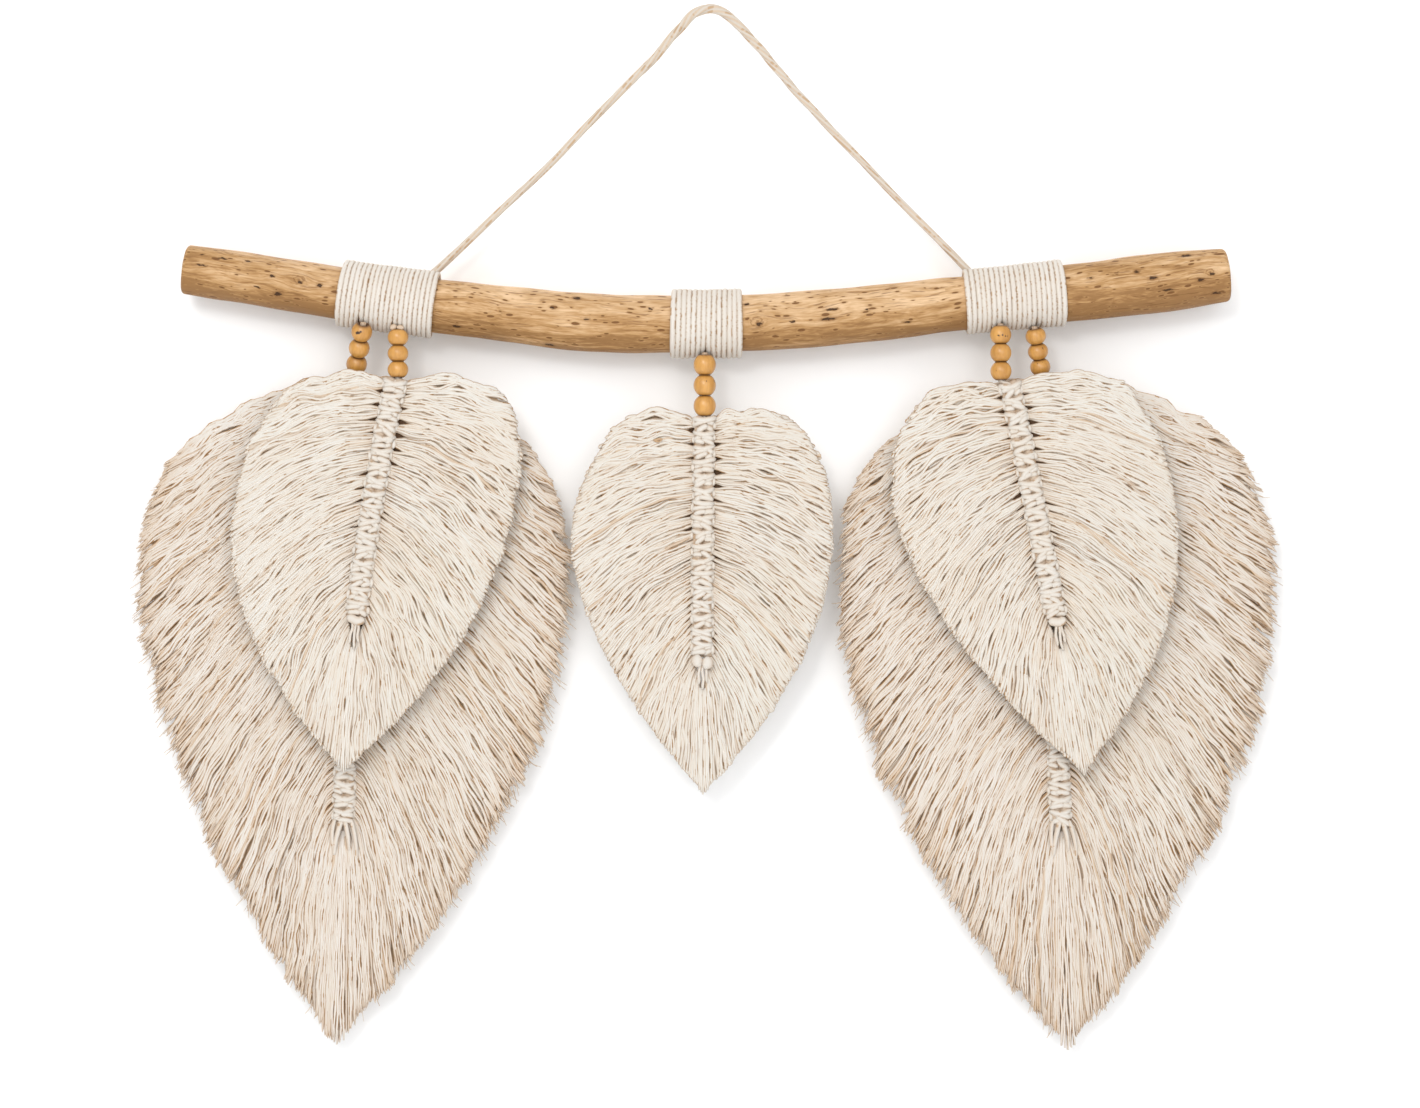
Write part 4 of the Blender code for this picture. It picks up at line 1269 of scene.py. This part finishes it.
def knot_crosses(leaf, knots, at, seed):
    """Two ropes of each knot that lean together under its cup, at a share of the knot's height.

    Each is a short straight rope with round ends, and which of them lies on top changes from
    knot to knot.
    """
    rng, row, side, q, shape = knot_ropes(knots, 2, 7, seed)
    on_top = (row % 2 == 1) == (side > 0)
    slant = np.radians(np.where(on_top, rng.uniform(5.0, 42.0, shape),
                                rng.uniform(-35.0, 35.0, shape)))
    half = np.where(on_top, rng.uniform(0.0032, 0.0044, shape), rng.uniform(0.0020, 0.0034, shape))
    across = side * (np.where(on_top, rng.uniform(0.0010, 0.0024, shape),
                              rng.uniform(0.0024, 0.0036, shape)) + q * half * np.cos(slant))
    down = ((row + at + rng.uniform(-0.06, 0.06, shape)) * KNOT_PITCH
            + q * half * np.sin(slant) - 0.0005 * (1.0 - q**2))
    outer = np.clip(np.abs(across) / SPINE_HALF, 0.0, 1.1)
    depth = -(np.where(on_top, 0.0042, 0.0033) + rng.normal(0.0, 0.0002, shape)) * (
        1.0 - 0.55 * outer**4)
    radii = 0.00190 * plump(0.80 * q**3) * rng.uniform(0.90, 1.14, shape)
    return rope_run(leaf, across, down, depth, radii, 6, rng.uniform(0.05, 0.40, shape))


def knot_lumps(leaf, knots, seed):
    """Two plump lumps under each bar, one at each side, that lean in to the spine's middle."""
    rng, row, side, q, shape = knot_ropes(knots, 2, 5, seed)
    lean = rng.uniform(-0.45, 0.70, shape)
    half = rng.uniform(0.0027, 0.0036, shape)
    across = side * (rng.uniform(0.0026, 0.0032, shape) + q * half * np.cos(lean)) + np.repeat(
        rng.normal(0.0, 0.0007, (knots, 1)), 2, axis=0)
    down = ((row + 0.76) * KNOT_PITCH + q * half * np.sin(lean)
            + rng.normal(0.0, 0.00035, shape))
    outer = np.clip(np.abs(across) / SPINE_HALF, 0.0, 1.0)
    depth = (0.0036 + rng.normal(0.0, 0.0003, shape)) * (1.0 - 0.55 * outer**4)
    radii = KNOT_ROPE * 1.10 * plump(0.80 * q) * rng.uniform(0.92, 1.10, shape)
    return rope_run(leaf, across, down, depth, radii, 6, rng.uniform(0.08, 0.42, shape))


def loop_heads(leaf, knots, seed):
    """Loop heads along both edges of the spine, in turn, round the ends of the bars."""
    rng, row, side, q, shape = knot_ropes(knots, 2, 5, seed)
    shift = np.where((row + (side > 0)) % 2 == 0, 0.42, 0.58)
    across = side * (SPINE_HALF * rng.uniform(0.86, 1.00, shape) + 0.0005 * (1 - q**2))
    down = (row + shift) * KNOT_PITCH + q * rng.uniform(0.0016, 0.0026, shape)
    depth = -(0.0017 + rng.normal(0.0, 0.0003, shape) - 0.0006 * q**2)
    radii = 0.00150 * plump(0.80 * q) * rng.uniform(0.9, 1.1, shape)
    return rope_run(leaf, across, down, depth, radii, 6, rng.uniform(0.10, 0.50, shape),
                    (leaf.across[0], 0.0, leaf.across[1]))


def core_column(leaf, end_at):
    """Rope inside the knots, which fills the spine; its brown is painted shade that shows between
    the lumps. It thins out under the last one, along the curve of an ellipse."""
    beyond = 0.0050 if leaf.frayed else 0.0
    down = np.linspace(0.0, end_at + beyond, 30)[None, :]
    past = np.clip((down - end_at) / 0.0055, 0.0, 1.0)
    return tubes(leaf.place(1, np.array([[-0.0026], [0.0026]]), down, 0.0),
                 0.0037 * np.sqrt(1.0 - 0.85 * past**2), 8, shade=0.85,
                 fold=0.55 + 0.15 * ease(past * 4.0))


def end_knot(leaf, down_at):
    """Knob below the last bar: two plump lumps side by side, or one short wide one."""
    q = np.linspace(-1.0, 1.0, 11)[None, :]
    if leaf.name == "leaf_small_middle":
        side = np.array([[-1.0], [1.0]])
        across = side * (0.0027 + 0.0004 * (1 - q**2) - 0.0008 * ease(q))
        down = down_at + 0.0036 + 0.0030 * q + 0.0006 * side
        radii = 0.0036 * plump(0.86 * q)
    else:
        across = 0.0043 * q
        down = down_at + 0.0030 - 0.0012 * q**2 + 0.0004 * np.sin(3.0 * q)
        radii = 0.0027 * plump((0.86 * q)**3)
    depth = -0.0044 - 0.0006 * (1 - q**2)
    return rope_run(leaf, across, down, depth, radii, 12, 0.2, TOWARD_EYE, 0.0)


def knob_tails(leaf, down_at, seed):
    """Three cut ends that hang from the knob on top of the fringe."""
    rng = np.random.default_rng(seed)
    t = np.linspace(0.0, 1.0, 9)[None, :]
    spread = np.array([[-0.0022], [0.0004], [0.0026]])
    length = np.array([[0.013], [0.016], [0.012]])
    across = spread * (0.6 + 0.5 * t) + 0.0004 * sway(rng, 3, t, 0.6, 1.1)
    return rope_run(leaf, across, down_at + 0.0040 + length * t, -0.0042 + 0.0009 * t,
                    np.where(t > 0.95, 0.0006, 0.00095), 6, np.array([[0.3], [0.15], [0.35]]),
                    TOWARD_EYE, 0.0)


def slack_cords(leaf, down_at):
    """Four slack cords under the last bar. Each follows the parabola through its start, middle
    and end, and sinks among the strands towards its end."""
    u = np.linspace(0.0, 1.0, 14)[None, :]
    start = np.array([[-0.0052], [-0.0009], [0.0010], [0.0050]])
    middle = np.array([[-0.0064], [-0.0037], [0.0032], [0.0080]])
    end = np.array([[-0.0048], [-0.0052], [0.0040], [0.0086]])
    length = np.array([[0.0200], [0.0210], [0.0180], [0.0240]])
    across = (start + (4.0 * middle - 3.0 * start - end) * u
              + (2.0 * start + 2.0 * end - 4.0 * middle) * u**2)
    depth = -0.0036 - 0.0010 * np.sin(math.pi * u) + 0.0022 * u**2
    radii = np.array([[0.00130], [0.00160], [0.00150], [0.00125]]) * (1.0 - 0.35 * u**3)
    return rope_run(leaf, across, down_at - 0.0012 + length * u, depth, radii, 8,
                    np.array([[0.30], [0.18], [0.22], [0.35]]), TOWARD_EYE, 0.10)


def above_beads(leaf, by):
    """Ends of a leaf's bead string, the way up it, and the place a distance above its beads."""
    first, last = (np.array(place) for place in BEAD_STRINGS[leaf.name][:2])
    lift = unit(first - last)
    return first, last, lift, first + lift * (np.linalg.norm(first - last) / 4 + by)


def core_strand(leaf):
    """Strand from under the wrap through the beads to the spine, and on inside the knots."""
    first, last, lift, top = above_beads(leaf, 0.0009)
    spine = leaf.place(1, np.zeros(3), np.array([0.0005, 0.004, 0.012]),
                       np.array([-0.0016, -0.0010, 0.0]))
    stops = np.concatenate([[top, first, (first + last) / 2, last, last - lift * 0.0066], spine])
    gaps = run_along(stops)
    at = np.linspace(0.0, gaps[-1], 30)
    path = np.stack([np.interp(at, gaps, column) for column in stops.T], axis=1)
    offsets = np.array([(-0.00085, 0.0, 0.0), (0.00085, 0.0, 0.0), (0.0, -0.0009, 0.0)])
    # Painted shade: the strand is brown through the beads, for the creases between them.
    in_beads = at < gaps[3] - 0.001
    return tubes(path + offsets[:, None], 0.00100, 7, shade=np.array([[0.25], [0.4], [0.2]]),
                 fold=np.where(in_beads, 0.85, 0.1))


def string_knot(leaf):
    """Small warm knot of two lumps between the wrap and a first bead."""
    middle = above_beads(leaf, 0.0010)[-1]
    q = np.linspace(-1.0, 1.0, 9)[None, :, None]
    centres = np.array([[[-0.0026, -0.0022, 0.0002]], [[0.0016, -0.0024, 0.0]]])
    reach = np.array([[[0.0016, 0.0, 0.0009]], [[0.0019, 0.0, -0.0003]]])
    return tubes(middle + centres + reach * q,
                 np.array([[0.0019], [0.0016]]) * plump(0.85 * q[..., 0]), 9,
                 shade=0.94, fold=0.12, tip=0.35)


def make_spine(leaf, number, material):
    """Knots of a leaf's spine, the strand they are tied on and what hangs below the last one."""
    knots = leaf.knots if leaf.frayed else leaf.knots - 1
    end_at = knots * KNOT_PITCH
    seed = 3000 + number * 20
    parts = [knot_cups(leaf, knots, seed), knot_bars(leaf, knots, seed + 1),
             knot_crosses(leaf, knots, 0.45, seed + 2), knot_crosses(leaf, knots, 0.80, seed + 6),
             knot_lumps(leaf, knots, seed + 3), loop_heads(leaf, knots, seed + 4),
             core_column(leaf, end_at), core_strand(leaf)]
    if leaf.name == "leaf_small_left":
        parts.append(string_knot(leaf))
    if leaf.frayed:
        parts.append(slack_cords(leaf, end_at))
    else:
        parts += [end_knot(leaf, end_at), knob_tails(leaf, end_at, seed + 5)]
    piece(leaf.name.replace("leaf", "knots"), together(parts), material, leaf.name)


# ------------------------------------------------------------------ studio

WALL_Y, FLOOR_Z, WALL_BEND = 0.0240, -1.25, 0.35
WALL_TOP, FLOOR_FRONT, WALL_HALF = 1.6, -3.6, 3.2
KEY_COLOUR, PLAIN_WHITE = (1.0, 0.99, 0.975), (1.0, 1.0, 1.0)


def studio_wall():
    """White wall that curves into a floor, open to light and to the eye from behind."""
    made = bpy.data.materials.new("white_studio_wall")
    made.use_nodes = True
    tree = made.node_tree
    tree.nodes.clear()
    wall = put(tree, "ShaderNodeBsdfDiffuse", {"Color": (*WALL_WHITE, 1.0)})
    clear = put(tree, "ShaderNodeBsdfTransparent")
    behind = Wire(put(tree, "ShaderNodeNewGeometry").outputs["Backfacing"])
    shadow = Wire(put(tree, "ShaderNodeLightPath").outputs["Is Shadow Ray"])
    mixed = put(tree, "ShaderNodeMixShader", {"Fac": maths("MAXIMUM", behind, shadow),
                                              1: Wire(wall.outputs[0]),
                                              2: Wire(clear.outputs[0])})
    put(tree, "ShaderNodeOutputMaterial", {"Surface": Wire(mixed.outputs[0])})
    turn = np.linspace(0.0, math.pi / 2, 13)
    y = np.concatenate([[WALL_Y], WALL_Y - WALL_BEND * (1 - np.cos(turn)), [FLOOR_FRONT]])
    z = np.concatenate([[WALL_TOP], FLOOR_Z + WALL_BEND * (1 - np.sin(turn)), [FLOOR_Z]])
    x = np.array([-WALL_HALF, WALL_HALF])
    points = np.stack(np.broadcast_arrays(x[None, :], y[:, None], z[:, None]), -1).reshape(-1, 3)
    row = np.arange(len(y) - 1)[:, None] * 2
    mesh = bpy.data.meshes.new("studio_wall")
    mesh.from_pydata(points.tolist(), [], (row + np.array([0, 1, 3, 2])).tolist())
    mesh.shade_smooth()
    if mesh.polygons[0].normal.y > 0.0:
        mesh.flip_normals()
    mesh.materials.append(made)
    added("studio_wall", mesh)


def area_light(name, place, aim, size, power, colour):
    """Round light at a place, turned towards its aim."""
    data = bpy.data.lights.new(name, "AREA")
    data.shape = "DISK"
    data.size = size
    data.energy = power
    data.color = colour
    made = added(name, data)
    made.location = place
    made.rotation_euler = (Vector(aim) - Vector(place)).to_track_quat("-Z", "Y").to_euler()


def light_the_studio():
    """White surroundings, two lights from the upper left, one in front and one behind."""
    world = bpy.data.worlds.new("studio")
    world.use_nodes = True
    background = world.node_tree.nodes["Background"].inputs
    background["Color"].default_value = (*PLAIN_WHITE, 1.0)
    background["Strength"].default_value = 0.74
    bpy.context.scene.world = world
    area_light("key", (-0.75, -2.35, 1.15), (0.0, 0.0, -0.30), 1.5, 21.0, KEY_COLOUR)
    area_light("small_key", (-0.60, -2.6, 0.50), (0.0, 0.0, -0.25), 0.50, 10.0, KEY_COLOUR)
    area_light("front", (0.7, -3.1, 0.2), (0.0, 0.0, -0.30), 2.2, 23.5, PLAIN_WHITE)
    area_light("back", (-0.6, 1.8, 0.8), (0.0, 0.0, -0.30), 1.4, 14.0, PLAIN_WHITE)
    bpy.context.scene.view_settings.view_transform = "Standard"


def place_camera():
    """Camera straight in front of the hanging, with a long lens."""
    data = bpy.data.cameras.new("straight_on")
    data.lens = 85.0
    data.sensor_width = 36.0
    data.clip_end = 20.0
    camera = added("straight_on", data)
    camera.location = (0.0, -2.0453, -0.3300)
    camera.rotation_euler = (math.pi / 2, 0.0, 0.0)
    bpy.context.scene.camera = camera


# ------------------------------------------------------------------ making

place_camera()
# The flank and dash shades are painted shade: tan flanks and brown dashes between the strands, the
# turns of wound cord, the knots' ropes and the plies.
trimmed = cotton("trimmed_cotton", CREAM, WARM_CREAM, 0.405, 0.0064, 1.0, 0.58, 30.0, True)
combed = cotton("frayed_cotton", FRAYED_CREAM, FRAYED_WARM, 0.460, 0.0076, 1.0, 0.72, 30.0, True)
knotted = cotton("knotted_cotton", KNOT_CREAM, FRAYED_WARM, 0.40, 0.0040, 0.7, 0.40, 60.0, True)
wound = cotton("wound_cotton_cord", CORD_CREAM, CORD_WARM, 0.445, 0.0034, 0.9, 0.22, 90.0, False)
plied = cotton("plied_cotton_cord", PLIED_CREAM, CORD_WARM, 0.46, 0.0050, 0.6, 0.50, 60.0, False)
inside = inner_layer()
wood = driftwood()
beads = bead_wood()

make_hanging_cord(plied)
make_branch(wood)
for number, row in enumerate(WRAPS):
    make_wrap(row, number, wound)
make_beads(beads)
for number, row in enumerate(LEAVES):
    leaf = Leaf(*row)
    make_fringe(leaf, number, combed if leaf.frayed else trimmed, inside)
    make_spine(leaf, number, knotted)
studio_wall()
light_the_studio()
